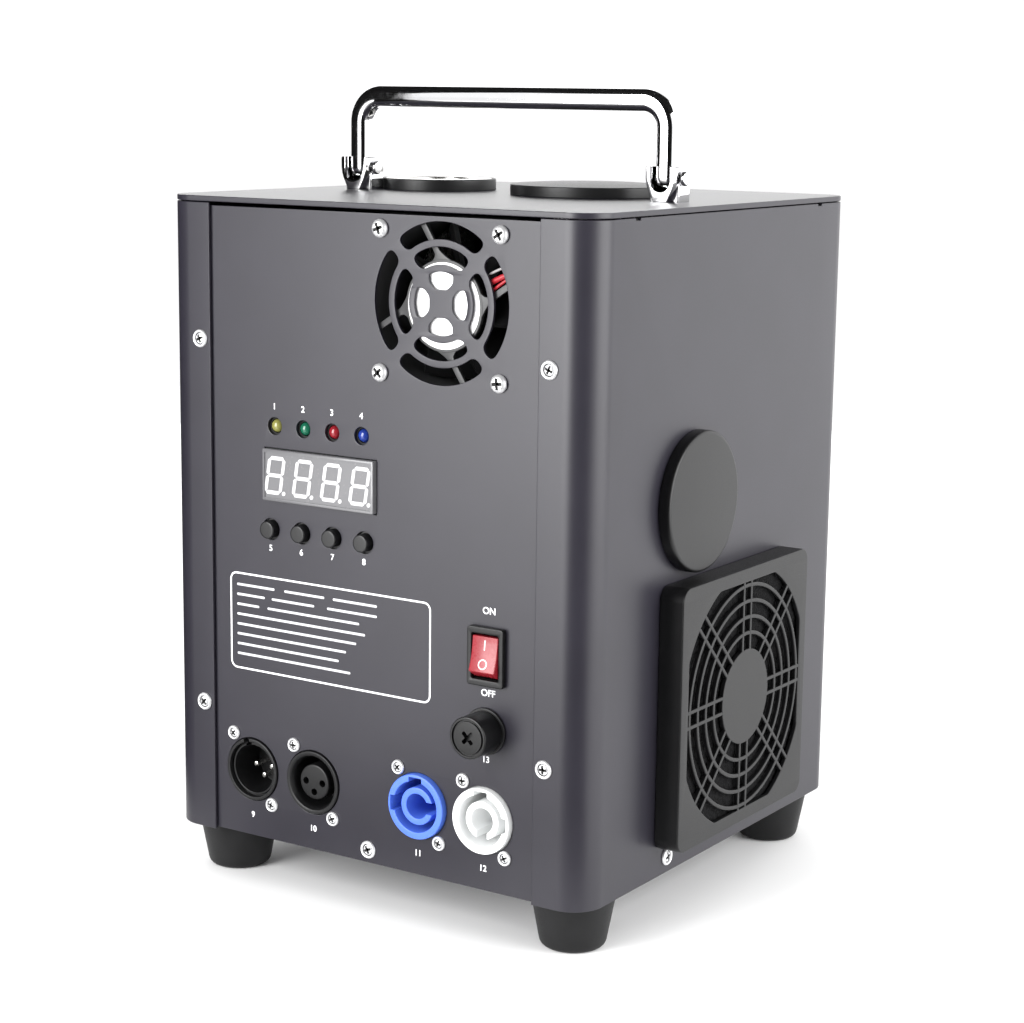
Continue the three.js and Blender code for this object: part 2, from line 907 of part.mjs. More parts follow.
// A circle flattened where it reaches past the rim on each side
function grilleOpening() {
  const held = (value) => Math.min(Math.max(value, -grilleHalf), grilleHalf);
  return circlePoints(0, 0, grilleRadius, fineSteps).map(([x, y]) => [held(x), held(y)]);
}

function ring(inner, outer, span) {
  const shape = outline(circlePoints(0, 0, outer));
  shape.holes.push(opening(circlePoints(0, 0, inner)));
  return slab(shape, span);
}

function guardCover() {
  const span = [seatGap, guardDepth];
  const face = [guardDepth - guardFace, guardDepth];
  const inner = guardSize - 2 * guardWall;
  const shell = cut(
    slab(outline(roundedRectPoints(guardSize, guardSize, guardCorner)), span),
    slab(outline(roundedRectPoints(inner, inner, guardCorner - guardWall)), [-overrun, face[0]]),
    slab(outline(grilleOpening()), [-overrun, guardDepth + overrun]),
  );
  const pitch = (grilleHalf - grilleRingLand - grilleHubRadius) / grilleRings;
  const rings = Array.from({ length: grilleRings }, (_, i) => {
    const radius = grilleHubRadius + pitch * (i + 1);
    return ring(radius - grilleRingWidth / 2, radius + grilleRingWidth / 2, face);
  });
  const offset = (grilleSpokeGap + grilleSpokeWidth) / 2;
  const spokes = spokeAngles().flatMap((angle) => {
    const slant = Math.max(Math.abs(Math.cos(angle)), Math.abs(Math.sin(angle)));
    const reach = [grilleHubRadius / 2, Math.min(grilleRadius, grilleHalf / slant) + guardWall];
    return [-offset, offset].map((side) => block(reach, around(side, grilleSpokeWidth), face).rotateZ(angle));
  });
  return join(shell, rodZ(grilleHubRadius, face), ...rings, ...spokes);
}

function guardFrame() {
  const size = guardSize - 2 * (guardWall + seatGap);
  const span = [seatGap, seatGap + guardFrameThickness];
  const corner = guardCorner - guardWall - seatGap;
  const shape = outline(roundedRectPoints(size, size, corner));
  shape.holes.push(opening(circlePoints(0, 0, sideFan.bore - seatGap)));
  shape.holes.push(...fanCorners(sideFan).map(([x, y]) => opening(circlePoints(x, y, sideFan.hole, smallSteps))));
  return slab(shape, span);
}

function filterPad() {
  const size = guardSize - 2 * (guardWall + seatGap);
  const low = guardFrameThickness + 2 * seatGap;
  const high = guardDepth - guardFace - seatGap;
  return slab(outline(roundedRectPoints(size, size, guardCorner - guardWall - seatGap)), [low, high]);
}

function portPlug() {
  const stem = portRadius - seatGap;
  return turned([
    [0, seatGap + plugThickness - plugWall],
    [stem - plugWall, seatGap + plugThickness - plugWall],
    [stem - plugWall, -plugStemDepth],
    [stem, -plugStemDepth],
    [stem, seatGap],
    [plugRadius, seatGap],
    [plugRadius, seatGap + plugThickness - plugEdge],
    [plugRadius - plugEdge, seatGap + plugThickness],
    [0, seatGap + plugThickness],
  ], fineSteps);
}

// Display, indicators, buttons and their board
function displayModule() {
  return block(around(0, displayWidth), around(0, displayTall), [seatGap - boardBack, displayProud]);
}

function indicator() {
  const dome = indicatorProud - indicatorRadius;
  return turned([
    [0, seatGap - boardBack],
    [indicatorRadius, seatGap - boardBack],
    ...arcPoints(0, dome, indicatorRadius, 0, quarterTurn, 4).slice(0, 4),
    [0, indicatorProud],
  ], smallSteps);
}

function button() {
  const collar = -sheet - seatGap;
  return turned([
    [0, -buttonBack],
    [buttonRadius, -buttonBack],
    [buttonRadius, collar - buttonCollar],
    [buttonCollarRadius, collar - buttonCollar],
    [buttonCollarRadius, collar],
    [buttonRadius, collar],
    [buttonRadius, buttonProud],
    [0, buttonProud],
  ], coarseSteps);
}

function controlBoard() {
  const { left, right, low, high } = boardLimits();
  const back = -boardBack - boardThickness;
  const board = block([left, right], [low, high], [back, -boardBack]);
  const keys = fourTimes(buttonFirstX, buttonPitch).map((x) => block(
    around(x, keyBase),
    around(buttonHeight, keyBase),
    [-boardBack - boardThickness / 2, -buttonBack - buttonTravelGap],
  ));
  const chip = block(
    around(displayX, chipSize),
    around(displayHeight, chipSize),
    [back - chipThickness, back + boardThickness / 2],
  );
  const plugs = [left + plugBlockLength, right - plugBlockLength].map((x) => block(
    around(x, plugBlockLength),
    around(low + plugBlockWidth, plugBlockWidth),
    [back - plugBlockHeight, back + boardThickness / 2],
  ));
  const posts = boardPosts().map(([x, y]) => (
    rodZ(postRadius, [-boardBack - boardThickness / 2, -sheet - seatGap], x, y, smallSteps)
  ));
  return join(board, ...keys, chip, ...plugs, ...posts);
}

// Power switch: the rocker rests with its upper end pressed in
function switchBody() {
  const bezel = block(around(0, bezelWidth), around(0, bezelTall), [seatGap, seatGap + bezelThickness]);
  const body = block(around(0, switchBodyWidth), around(0, switchBodyTall), [-switchBodyDepth, seatGap + bezelThickness / 2]);
  const well = block(
    around(0, rockerOpeningWidth),
    around(0, rockerOpeningTall),
    [-rockerCavity, bezelThickness + overrun],
  );
  const pivots = rodX(rockerPinRadius + seatGap, around(0, bezelWidth - sheet), 0, 0, smallSteps);
  const terminals = [-1, 0, 1].map((row) => block(
    around(0, terminalWidth),
    around((row * switchBodyTall) / 3, terminalThickness),
    [-switchBodyDepth - terminalLength, -switchBodyDepth / 2 - rockerCavity / 2],
  ));
  return join(cut(join(bezel, body), well, pivots), ...terminals);
}

function switchRocker() {
  const half = rockerTall / 2;
  const profile = outline([
    [-half, rockerEnd],
    [-half, 0],
    ...arcPoints(0, 0, rockerRoot, halfTurn + rockerRootLead, fullTurn - rockerRootLead, cornerSteps),
    [half, 0],
    [half, rockerEnd],
    [0, rockerMiddle],
  ]);
  const body = slab(profile, around(0, rockerWidth)).rotateY(quarterTurn).rotateX(quarterTurn);
  const pin = rodX(rockerPinRadius, around(0, rockerWidth + rockerPinReach), 0, 0, smallSteps);
  return join(body, pin).rotateX(-rockerTilt);
}

// Screw-cap fuse holder
function fuseHolder() {
  const body = turned([
    [0, -fuseBarrelDepth],
    [fuseBarrelRadius, -fuseBarrelDepth],
    [fuseBarrelRadius, seatGap],
    [fuseCollarRadius, seatGap],
    [fuseCollarRadius, seatGap + fuseCollar],
    [0, seatGap + fuseCollar],
  ]);
  const end = fuseStemLength - fuseGrip + fuseLinkLength + 2 * seatGap;
  const terminal = block(
    around(0, terminalWidth),
    around(0, terminalThickness),
    [-fuseBarrelDepth - terminalLength, -fuseBarrelDepth + sheet],
  );
  const bore = turned([
    [0, -end],
    [fuseLinkRadius + seatGap, -end],
    [fuseLinkRadius + seatGap, -fuseStemLength - seatGap],
    [fuseBoreRadius, -fuseStemLength - seatGap],
    [fuseBoreRadius, overrun],
    [0, overrun],
  ]);
  return join(cut(body, bore), terminal);
}

function fuseCap() {
  const low = fuseCollar + 2 * seatGap;
  const body = turned([
    [0, -fuseStemLength],
    [fuseStemRadius, -fuseStemLength],
    [fuseStemRadius, low],
    [fuseCapRadius, low],
    [fuseCapRadius, fuseCapProud - fuseCapEdge],
    [fuseCapRadius - fuseCapEdge, fuseCapProud],
    [0, fuseCapProud],
  ]);
  const slot = [fuseCapProud - fuseSlotDepth, fuseCapProud + overrun];
  const arm = () => block(around(0, fuseSlotLength), around(0, fuseSlotWidth), slot);
  const grip = [-fuseStemLength - overrun, fuseGrip - fuseStemLength];
  return cut(
    body,
    arm().rotateZ(quarterTurn / 2),
    arm().rotateZ(-quarterTurn / 2),
    rodZ(fuseLinkRadius + seatGap, grip, 0, 0, coarseSteps),
  );
}

function fuseLink() {
  const high = fuseGrip - fuseStemLength - seatGap;
  return rodZ(fuseLinkRadius, [high - fuseLinkLength, high], 0, 0, coarseSteps);
}

// Round panel connectors: the flange lies behind the panel and the barrel fills its hole
function connectorBody(radius, proud, depth) {
  const back = -sheet - seatGap;
  const flange = slab(
    outline(roundedRectPoints(connectorFlangeWidth, connectorFlangeTall, postRadius)),
    [back - connectorFlange, back],
  );
  return join(flange, rodZ(radius, [-depth, proud]));
}

function connectorScrewHoles() {
  const span = [-sheet - connectorFlange - overrun, 0];
  return [[-connectorScrewX, connectorScrewY], [connectorScrewX, -connectorScrewY]].map(([x, y]) => (
    rodZ(coverScrewRadius, span, x, y, smallSteps)
  ));
}

function contactPlaces() {
  return [halfTurn, 0, -quarterTurn].map((angle) => [
    contactCircle * Math.cos(angle),
    contactCircle * Math.sin(angle),
  ]);
}

function signalIn() {
  const cavity = [-signalCavity, signalProud + overrun];
  const shell = cut(
    connectorBody(signalRadius, signalProud, signalDepth),
    rodZ(signalBore, cavity, 0, 0, coarseSteps),
    block(around(0, keyWidth), [signalBore / 2, signalBore + keyDepth], cavity),
    ...connectorScrewHoles(),
  );
  const pins = contactPlaces().map(([x, y]) => (
    rodZ(contactRadius, [-signalCavity - overrun, -contactTip], x, y, smallSteps)
  ));
  return join(shell, ...pins);
}

function signalOut() {
  const groove = [-signalCavity, signalProud + overrun];
  const holes = contactPlaces().map(([x, y]) => (
    rodZ(contactHoleRadius, [-signalCavity, overrun], x, y, smallSteps)
  ));
  return cut(
    connectorBody(signalRadius, signalProud, signalDepth),
    cut(
      rodZ(signalBore, groove, 0, 0, coarseSteps),
      rodZ(insertRadius, [-signalDepth, overrun * 2], 0, 0, coarseSteps),
    ),
    block(around(0, keyWidth), [insertRadius, signalBore + keyDepth], groove),
    ...holes,
    ...connectorScrewHoles(),
  );
}

function powerSocket(turn) {
  const cavity = [-powerCavity, powerProud + overrun];
  const keys = [0, quarterTurn].map((angle) => (
    block(around(0, powerKeyWidth), [powerBore / 2, powerBore + powerKeyDepth], cavity).rotateZ(turn + angle)
  ));
  const shell = cut(
    connectorBody(powerRadius, powerProud, powerDepth),
    rodZ(powerBore, cavity, 0, 0, coarseSteps),
    ...keys,
    ...connectorScrewHoles(),
  );
  const core = cut(
    rodZ(powerCoreRadius, [-powerCavity - overrun, powerProud - powerCoreSink], 0, 0, coarseSteps),
    rodZ(powerCoreBore, cavity, 0, 0, coarseSteps),
    block([0, powerCoreRadius * 2], around(0, powerCoreSlot), cavity).rotateZ(turn),
  );
  return join(shell, core);
}

// Folding handle: a line whose steps fall on its listed points
class RodLine extends THREE.Curve {
  constructor(points) {
    super();
    this.points = points;
  }

  getUtoTmapping(share) {
    return share;
  }

  getPoint(share, target = new THREE.Vector3()) {
    const place = share * (this.points.length - 1);
    const i = Math.min(Math.floor(place), this.points.length - 2);
    return target.copy(this.points[i]).lerp(this.points[i + 1], place - i);
  }
}

function handleBar() {
  const half = handleSpan / 2;
  const side = half - handleBend;
  const level = handleRise - handleBend;
  const points = [
    [-half, -handleHalf],
    ...arcPoints(-side, level, handleBend, halfTurn, quarterTurn, handleBendSteps),
    ...arcPoints(side, level, handleBend, quarterTurn, 0, handleBendSteps),
    [half, -handleHalf],
  ];
  const extrudePath = new RodLine(points.map(([x, z]) => new THREE.Vector3(x, 0, z)));
  const section = outline(roundedRectPoints(2 * handleHalf, 2 * handleHalf, handleCorner));
  const reach = (handleHalf - handleCorner) * Math.SQRT2 + handleCorner;
  const rod = new THREE.ExtrudeGeometry(section, { steps: points.length - 1, bevelEnabled: false, extrudePath });
  const tools = [-half, half].flatMap((x) => {
    const across = around(x, 2 * (handleHalf + overrun));
    const beside = around(0, 2 * (handleHalf + overrun));
    const under = block(across, beside, [-handleHalf - overrun, 0]);
    const ball = new THREE.SphereGeometry(reach, roundSteps, roundSteps / 2).translate(x, 0, 0);
    const tip = common(common(rodX(handleHalf, across), rodY(handleHalf, beside, x)), ball);
    return [cut(under, tip), rodX(pinRadius + seatGap, across, 0, 0, smallSteps)];
  });
  return cut(rod, ...tools);
}

function handleBracket() {
  const slot = handleHalf + seatGap;
  const [low, high] = around(0, bracketDepth);
  const front = outline([
    [-bracketWidth / 2 + bracketSkirt, 0],
    [bracketWidth / 2 - bracketSkirt, 0],
    [bracketWidth / 2, bracketSkirt * 2],
    [bracketWidth / 2, bracketHeight],
    [-bracketWidth / 2, bracketHeight],
    [-bracketWidth / 2, bracketSkirt * 2],
  ]);
  const base = block(around(0, bracketWidth), [low + bracketSkirt, high], [0, bracketHeight / 2]);
  const body = join(slab(front, [-high, -low]).rotateX(quarterTurn), base);
  const well = bracketFloor + slot;
  return cut(
    body,
    rodY(slot, [low - overrun, high - bracketBack], 0, well),
    block(around(0, 2 * slot), [low - overrun, high - bracketBack], [well, bracketHeight + overrun]),
    rodX(pinRadius + seatGap, around(0, bracketWidth + overrun), 0, pinHeight, smallSteps),
  );
}

function handlePin() {
  const half = bracketWidth / 2 + seatGap;
  return join(
    rodX(pinRadius, around(0, 2 * half + pinHeadLength), 0, 0, smallSteps),
    rodX(pinHeadRadius, [half, half + pinHeadLength], 0, 0, smallSteps),
    rodX(pinHeadRadius, [-half - pinHeadLength, -half], 0, 0, smallSteps),
  );
}

// Spark outlet, tube and heating chamber, all on one upright axis
function outletRing() {
  const bore = sparkTubeRadius + seatGap;
  const step = outletHeight - outletFaceThickness - seatGap;
  return turned([
    [bore, 0],
    [outletRadius, 0],
    [outletRadius, outletHeight - outletLip / 2],
    [outletRadius - outletLip / 2, outletHeight],
    [outletRadius - outletLip, outletHeight],
    [outletRadius - outletLip, step],
    [bore, step],
    [bore, 0],
  ], fineSteps);
}

function sparkTube() {
  const flange = outletRadius - outletLip - seatGap;
  const face = outletHeight - outletFaceThickness;
  const foot = chamberTop + seatGap - plateTop;
  return turned([
    [sparkBoreRadius, foot],
    [sparkTubeRadius, foot],
    [sparkTubeRadius, face],
    [flange, face],
    [flange, outletHeight],
    [sparkBoreRadius, outletHeight],
    [sparkBoreRadius, foot],
  ]);
}

function heaterChamber() {
  const tube = turned([
    [sparkBoreRadius, 0],
    [chamberFlangeRadius, 0],
    [chamberFlangeRadius, chamberFlange],
    [sparkTubeRadius, chamberFlange],
    [sparkTubeRadius, chamberHeight],
    [sparkBoreRadius, chamberHeight],
    [sparkBoreRadius, 0],
  ]);
  const inlet = feedHeight - chamberFoot;
  return cut(tube, rodX(augerBore, [0, sparkTubeRadius + overrun], 0, inlet, coarseSteps));
}

function heaterBand() {
  const inner = sparkTubeRadius + seatGap;
  const low = chamberFlange + heaterFoot;
  return ring(inner, inner + heaterWall, [low, low + heaterLength]);
}

function insulationJacket() {
  const heater = sparkTubeRadius + seatGap + heaterWall + seatGap;
  const neck = sparkTubeRadius + seatGap;
  const low = chamberFlange + seatGap;
  const seat = chamberFlange + heaterFoot - seatGap;
  const high = seat + heaterLength + 2 * seatGap;
  return turned([
    [neck, low],
    [heater + jacketWall, low],
    [heater + jacketWall, high + jacketRim],
    [heater, high + jacketRim],
    [heater, seat],
    [neck, seat],
    [neck, low],
  ]);
}

function chassisShelf() {
  const left = -halfWidth + sheet + seatGap;
  const top = shelfHeight + sheet;
  const deck = block([left, shelfRight], [shelfFront, shelfBack], [shelfHeight, top]);
  const leg = block([shelfRight - sheet, shelfRight], [shelfFront, shelfBack], [trayTop + seatGap, top]);
  const foot = [trayTop + seatGap, trayTop + seatGap + sheet];
  const toe = block([shelfRight - shelfToe, shelfRight], [shelfFront, shelfBack], foot);
  const tab = block([left, left + sheet], [shelfFront, shelfBack], [shelfHeight - trayWall, top]);
  const duct = rodZ(sparkBoreRadius, [shelfHeight - overrun, top + overrun], outletX, topFittingY);
  return cut(join(deck, leg, toe, tab), duct);
}

// Granule hopper and feed
function hopperFunnel() {
  const inner = hopperNeckRadius;
  const outer = inner + hopperWall;
  const top = -seatGap;
  const flangeTop = -plateThickness - seatGap;
  const spout = spoutRadius + hopperWall;
  const low = feedHeight + feedBlockHalf + seatGap - plateTop;
  const spoutTop = low + spoutLength;
  const cone = spoutTop + (flangeTop - spoutTop) * hopperConeShare;
  return turned([
    [spoutRadius, low],
    [spout, low],
    [spout, spoutTop],
    [outer, cone],
    [outer, flangeTop - hopperWall],
    [hopperFlangeRadius, flangeTop - hopperWall],
    [hopperFlangeRadius, flangeTop],
    [outer, flangeTop],
    [outer, top],
    [inner, top],
    [inner, cone],
    [spoutRadius, spoutTop],
    [spoutRadius, low],
  ]);
}

function hopperLid() {
  const plug = hopperNeckRadius - seatGap;
  const crown = arcPoints(0, 0, 1, quarterTurn, 0, cornerSteps).map(([across, up]) => [
    (lidRadius - lidEdge) * across,
    lidHeight - lidCrown + lidCrown * up,
  ]);
  return turned([
    [0, lidHeight / 2],
    [plug - plugWall, lidHeight / 2],
    [plug - plugWall, -lidPlugDepth],
    [plug, -lidPlugDepth],
    [plug, 0],
    [lidRadius, 0],
    [lidRadius, lidHeight - lidCrown - lidEdge],
    ...crown.reverse(),
  ], fineSteps);
}

function feedBlock() {
  const body = block([outletX + sparkTubeRadius / 2, feedBlockRight], around(0, feedBlockWidth), around(0, feedBlockWidth));
  return cut(
    body,
    rodX(augerBore, [outletX, feedBlockRight + overrun]),
    rodZ(spoutRadius, [0, feedBlockHalf + overrun], hopperX, 0),
    rodZ(sparkTubeRadius + seatGap, [-feedBlockWidth, feedBlockWidth], outletX, 0),
  );
}

function augerBlade(length) {
  const steps = augerTurns * augerStepsPerTurn;
  const tip = augerBladeThickness / 2;
  const section = outline([
    [-augerRadius, -tip],
    [-augerCoreRadius, -augerCoreRadius],
    [augerCoreRadius, -augerCoreRadius],
    [augerRadius, -tip],
    [augerRadius, tip],
    [augerCoreRadius, augerCoreRadius],
    [-augerCoreRadius, augerCoreRadius],
    [-augerRadius, tip],
  ]);
  const blade = new THREE.ExtrudeGeometry(section, { depth: length, steps, bevelEnabled: false });
  const place = blade.getAttribute('position');
  for (let i = 0; i < place.count; i += 1) {
    const turn = (place.getZ(i) / length) * augerTurns * fullTurn;
    const [x, y] = [place.getX(i), place.getY(i)];
    place.setXY(i, x * Math.cos(turn) - y * Math.sin(turn), x * Math.sin(turn) + y * Math.cos(turn));
  }
  return blade.rotateY(quarterTurn);
}

function feedAuger() {
  const end = feedBlockRight - bushLength - 2 * seatGap;
  const blade = augerBlade(end - augerStart).translate(augerStart, 0, 0);
  return join(blade, rodX(motorShaftRadius, [end - seatGap, feedBlockRight + motorShaftLength], 0, 0, smallSteps));
}

function feedBush() {
  const span = [feedBlockRight - bushLength - seatGap, feedBlockRight - seatGap];
  return cut(
    rodX(augerBore - seatGap, span),
    rodX(motorShaftRadius + seatGap, [span[0] - overrun, span[1] + overrun], 0, 0, smallSteps),
  );
}

function feedMotor() {
  const front = feedBlockRight + seatGap;
  const joint = front + gearboxLength;
  return cut(
    join(rodX(gearboxRadius, [front, joint]), rodX(motorRadius, [joint - seatGap, joint + motorLength])),
    rodX(motorShaftRadius + seatGap, [front - overrun, front + motorShaftLength], 0, 0, smallSteps),
  );
}

// Radial blower: the volute lies in the XZ plane and blows up into the chamber
function blowerOutline(wall) {
  const radius = blowerRadius - wall;
  const right = blowerOutletWidth - blowerRadius - wall;
  const top = shelfHeight - seatGap - blowerZ;
  const start = Math.acos(right / radius);
  return outline([
    [-radius, top + (wall > 0 ? overrun : 0)],
    ...arcPoints(0, 0, radius, halfTurn, fullTurn + start, roundSteps),
    [right, top + (wall > 0 ? overrun : 0)],
  ]);
}

function blowerHousing() {
  const half = blowerThickness / 2;
  const body = slab(blowerOutline(0), [-half, half]);
  const hollow = slab(blowerOutline(blowerWall), [blowerWall - half, half - blowerWall]);
  const inlet = rodZ(blowerInletRadius, [half - overrun, half + overrun]);
  const bearing = rodZ(fanShaftRadius + seatGap, [-half - overrun, overrun - half], 0, 0, smallSteps);
  const base = block(
    around(0, blowerFootWidth),
    [seatGap + trayTop - blowerZ, blowerFootHeight + trayTop - blowerZ],
    [-half, half],
  );
  return cut(join(body, cut(base, rodZ(blowerRadius - blowerWall / 2, [-blowerThickness, blowerThickness]))), hollow, inlet, bearing);
}

function blowerImpeller() {
  const back = blowerWall + bladeGap - blowerThickness / 2;
  const front = back + impellerDepth;
  const vanes = Array.from({ length: impellerVanes }, (_, i) => (
    block([impellerRadius - vaneLength, impellerRadius], around(0, vaneThickness), [back + impellerDisc / 2, front])
      .rotateZ((i * fullTurn) / impellerVanes)
  ));
  return join(
    rodZ(impellerRadius, [back, back + impellerDisc]),
    rodZ(impellerHubRadius, [back, front]),
    rodZ(fanShaftRadius, [seatGap - blowerThickness / 2, back + impellerDisc], 0, 0, smallSteps),
    ...vanes,
  );
}

// Power supply board
function supplyPosts() {
  return [supplyLeft + postInset, supplyRight - postInset].flatMap((x) => (
    [supplyRear + postInset, supplyFront - postInset].map((y) => [x, y])
  ));
}

function powerSupply() {
  const low = trayTop + supplyLift;
  const top = low + boardThickness;
  const seat = top - boardThickness / 2;
  const middle = (supplyLeft + supplyRight) / 2;
  const board = block([supplyLeft, supplyRight], [supplyRear, supplyFront], [low, top]);
  const transformerSize = supplyWidth * transformerShare;
  const transformer = block(
    around(middle, transformerSize),
    [supplyFront - 2 * supplyPartInset - transformerSize, supplyFront - 2 * supplyPartInset],
    [seat, top + transformerHeight],
  );
  const capacitorRadius = supplyWidth * capacitorShare;
  const capacitors = Array.from({ length: capacitorCount }, (_, i) => rodZ(
    capacitorRadius,
    [seat, top + capacitorHeight],
    middle + (i - (capacitorCount - 1) / 2) * supplyWidth * capacitorPitchShare,
    supplyRear + 2 * supplyPartInset + capacitorRadius,
    coarseSteps,
  ));
  const sinkFront = supplyFront - 3 * supplyPartInset - transformerSize;
  const sinkRear = sinkFront - heatsinkLength;
  const heatsink = block([middle, middle + heatsinkBase], [sinkRear, sinkFront], [seat, top + heatsinkHeight]);
  const fins = Array.from({ length: heatsinkFins }, (_, i) => block(
    [middle + heatsinkBase / 2, middle + heatsinkBase + supplyWidth * finShare],
    around(sinkRear + finThickness + (i * (sinkFront - sinkRear - 2 * finThickness)) / (heatsinkFins - 1), finThickness),
    [seat, top + heatsinkHeight],
  ));
  const posts = supplyPosts().map(([x, y]) => rodZ(postRadius, [trayTop + seatGap, seat], x, y, smallSteps));
  return join(board, transformer, ...capacitors, heatsink, ...fins, ...posts);
}

// Assembly
const pinLevel = plateTop + pinHeight;
const blowerGroup = new THREE.Group();
blowerGroup.position.set(blowerX, topFittingY, blowerZ);
blowerGroup.rotation.x = quarterTurn;
upright.add(blowerGroup);

piece(upright, 'cover_wrap', coverWrap(), coatedSteel());
piece(upright, 'top_plate', topPlate(), coatedSteel());
piece(upright, 'base_tray', baseTray(), coatedSteel());
piece(panelSide, 'rear_panel', rearPanel(), coatedSteel());
footPlaces().forEach(([name, x, y]) => piece(upright, name, foot(), blackRubber(), x, y));

piece(upright, 'handle_bar', handleBar(), chrome(), 0, handlePlace, pinLevel);
[['left', -handleSpan / 2], ['right', handleSpan / 2]].forEach(([side, x]) => {
  piece(upright, `handle_bracket_${side}`, handleBracket(), chrome(), x, handlePlace, plateTop);
  piece(upright, `handle_pin_${side}`, handlePin(), zincSteel(), x, handlePlace, pinLevel);
});

piece(upright, 'outlet_ring', outletRing(), blackPlastic(), outletX, topFittingY, plateTop);
piece(upright, 'spark_tube', sparkTube(), stainlessSteel(), outletX, topFittingY, plateTop);
piece(upright, 'heater_chamber', heaterChamber(), stainlessSteel(), outletX, topFittingY, chamberFoot);
piece(upright, 'heater_band', heaterBand(), ceramic(), outletX, topFittingY, chamberFoot);
piece(upright, 'insulation_jacket', insulationJacket(), glassWool(), outletX, topFittingY, chamberFoot);
piece(upright, 'chassis_shelf', chassisShelf(), zincSteel());

piece(upright, 'hopper_lid', hopperLid(), blackPlastic(), hopperX, topFittingY, plateTop);
piece(upright, 'hopper_funnel', hopperFunnel(), stainlessSteel(), hopperX, topFittingY, plateTop);
piece(upright, 'feed_block', feedBlock(), aluminium(), 0, topFittingY, feedHeight);
piece(upright, 'feed_auger', feedAuger(), stainlessSteel(), 0, topFittingY, feedHeight);
piece(upright, 'feed_bush', feedBush(), brass(), 0, topFittingY, feedHeight);
piece(upright, 'feed_motor', feedMotor(), zincSteel(), 0, topFittingY, feedHeight);

piece(blowerGroup, 'blower_housing', blowerHousing(), blackPlastic());
piece(blowerGroup, 'blower_impeller', blowerImpeller(), blackPlastic());
piece(upright, 'power_supply', powerSupply(), boardGreen());

piece(panelSide, 'rear_fan_frame', fanFrame(rearFan, true), blackPlastic(), rearFanX, rearFanHeight, -sheet - seatGap);
piece(panelSide, 'rear_fan_rotor', fanRotor(rearFan, true), blackPlastic(), rearFanX, rearFanHeight, -sheet - seatGap);
fanCorners(rearFan).forEach(([x, y], i) => {
  piece(panelSide, `fan_screw_${i + 1}`, panScrew(fanScrewRadius, fanScrewLength), zincSteel(), rearFanX + x, rearFanHeight + y);
});
piece(panelSide, 'control_board', controlBoard(), boardGreen());
piece(panelSide, 'display_module', displayModule(), displayFace(), displayX, displayHeight);
[0xb9b23a, 0x1f9d62, 0xd0202c, 0x2c49c8].forEach((color, i) => {
  piece(panelSide, `indicator_${i + 1}`, indicator(), lens(color), indicatorFirstX + i * indicatorPitch, indicatorHeight);
});
fourTimes(buttonFirstX, buttonPitch).forEach((x, i) => {
  piece(panelSide, `button_${i + 1}`, button(), greyPlastic(), x, buttonHeight);
});
piece(panelSide, 'switch_body', switchBody(), blackPlastic(), switchX, switchHeight);
piece(panelSide, 'switch_rocker', switchRocker(), redPlastic(), switchX, switchHeight);
piece(panelSide, 'fuse_holder', fuseHolder(), blackPlastic(), fuseX, fuseHeight);
piece(panelSide, 'fuse_cap', fuseCap(), blackPlastic(), fuseX, fuseHeight);
piece(panelSide, 'fuse_link', fuseLink(), fuseGlass(), fuseX, fuseHeight);
piece(panelSide, 'signal_in_socket', signalIn(), blackPlastic(), signalInX, connectorHeight);
piece(panelSide, 'signal_out_socket', signalOut(), blackPlastic(), signalOutX, connectorHeight);
piece(panelSide, 'power_in_socket', powerSocket(0), bluePlastic(), powerInX, connectorHeight);
piece(panelSide, 'power_out_socket', powerSocket(-quarterTurn), whitePlastic(), powerOutX, connectorHeight);

piece(fanSide, 'side_fan_frame', fanFrame(sideFan, false), blackPlastic(), 0, sideFanHeight, -sheet - seatGap);
piece(fanSide, 'side_fan_rotor', fanRotor(sideFan, false), blackPlastic(), 0, sideFanHeight, -sheet - seatGap);
piece(fanSide, 'guard_frame', guardFrame(), blackPlastic(), 0, sideFanHeight);
piece(fanSide, 'filter_pad', filterPad(), filterFoam(), 0, sideFanHeight);
piece(fanSide, 'guard_cover', guardCover(), blackPlastic(), 0, sideFanHeight);
piece(fanSide, 'port_plug', portPlug(), blackRubber(), plugPlace, plugHeight);

// The origin is under the middle of the whole outline, guard and fuse cap included
upright.position.set(-guardDepth / 2, (fuseCapProud - panelRecess) / 2, 0);

export default machine;
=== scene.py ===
"""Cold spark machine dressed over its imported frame. Metres, +Z up, panel on -Y, filtered fan on +X."""

import json
import math

import bmesh
import bpy
import numpy as np
from bpy.props import FloatProperty, FloatVectorProperty, IntProperty, PointerProperty
from bpy.types import Operator, Panel, PropertyGroup
from mathutils import Matrix, Vector


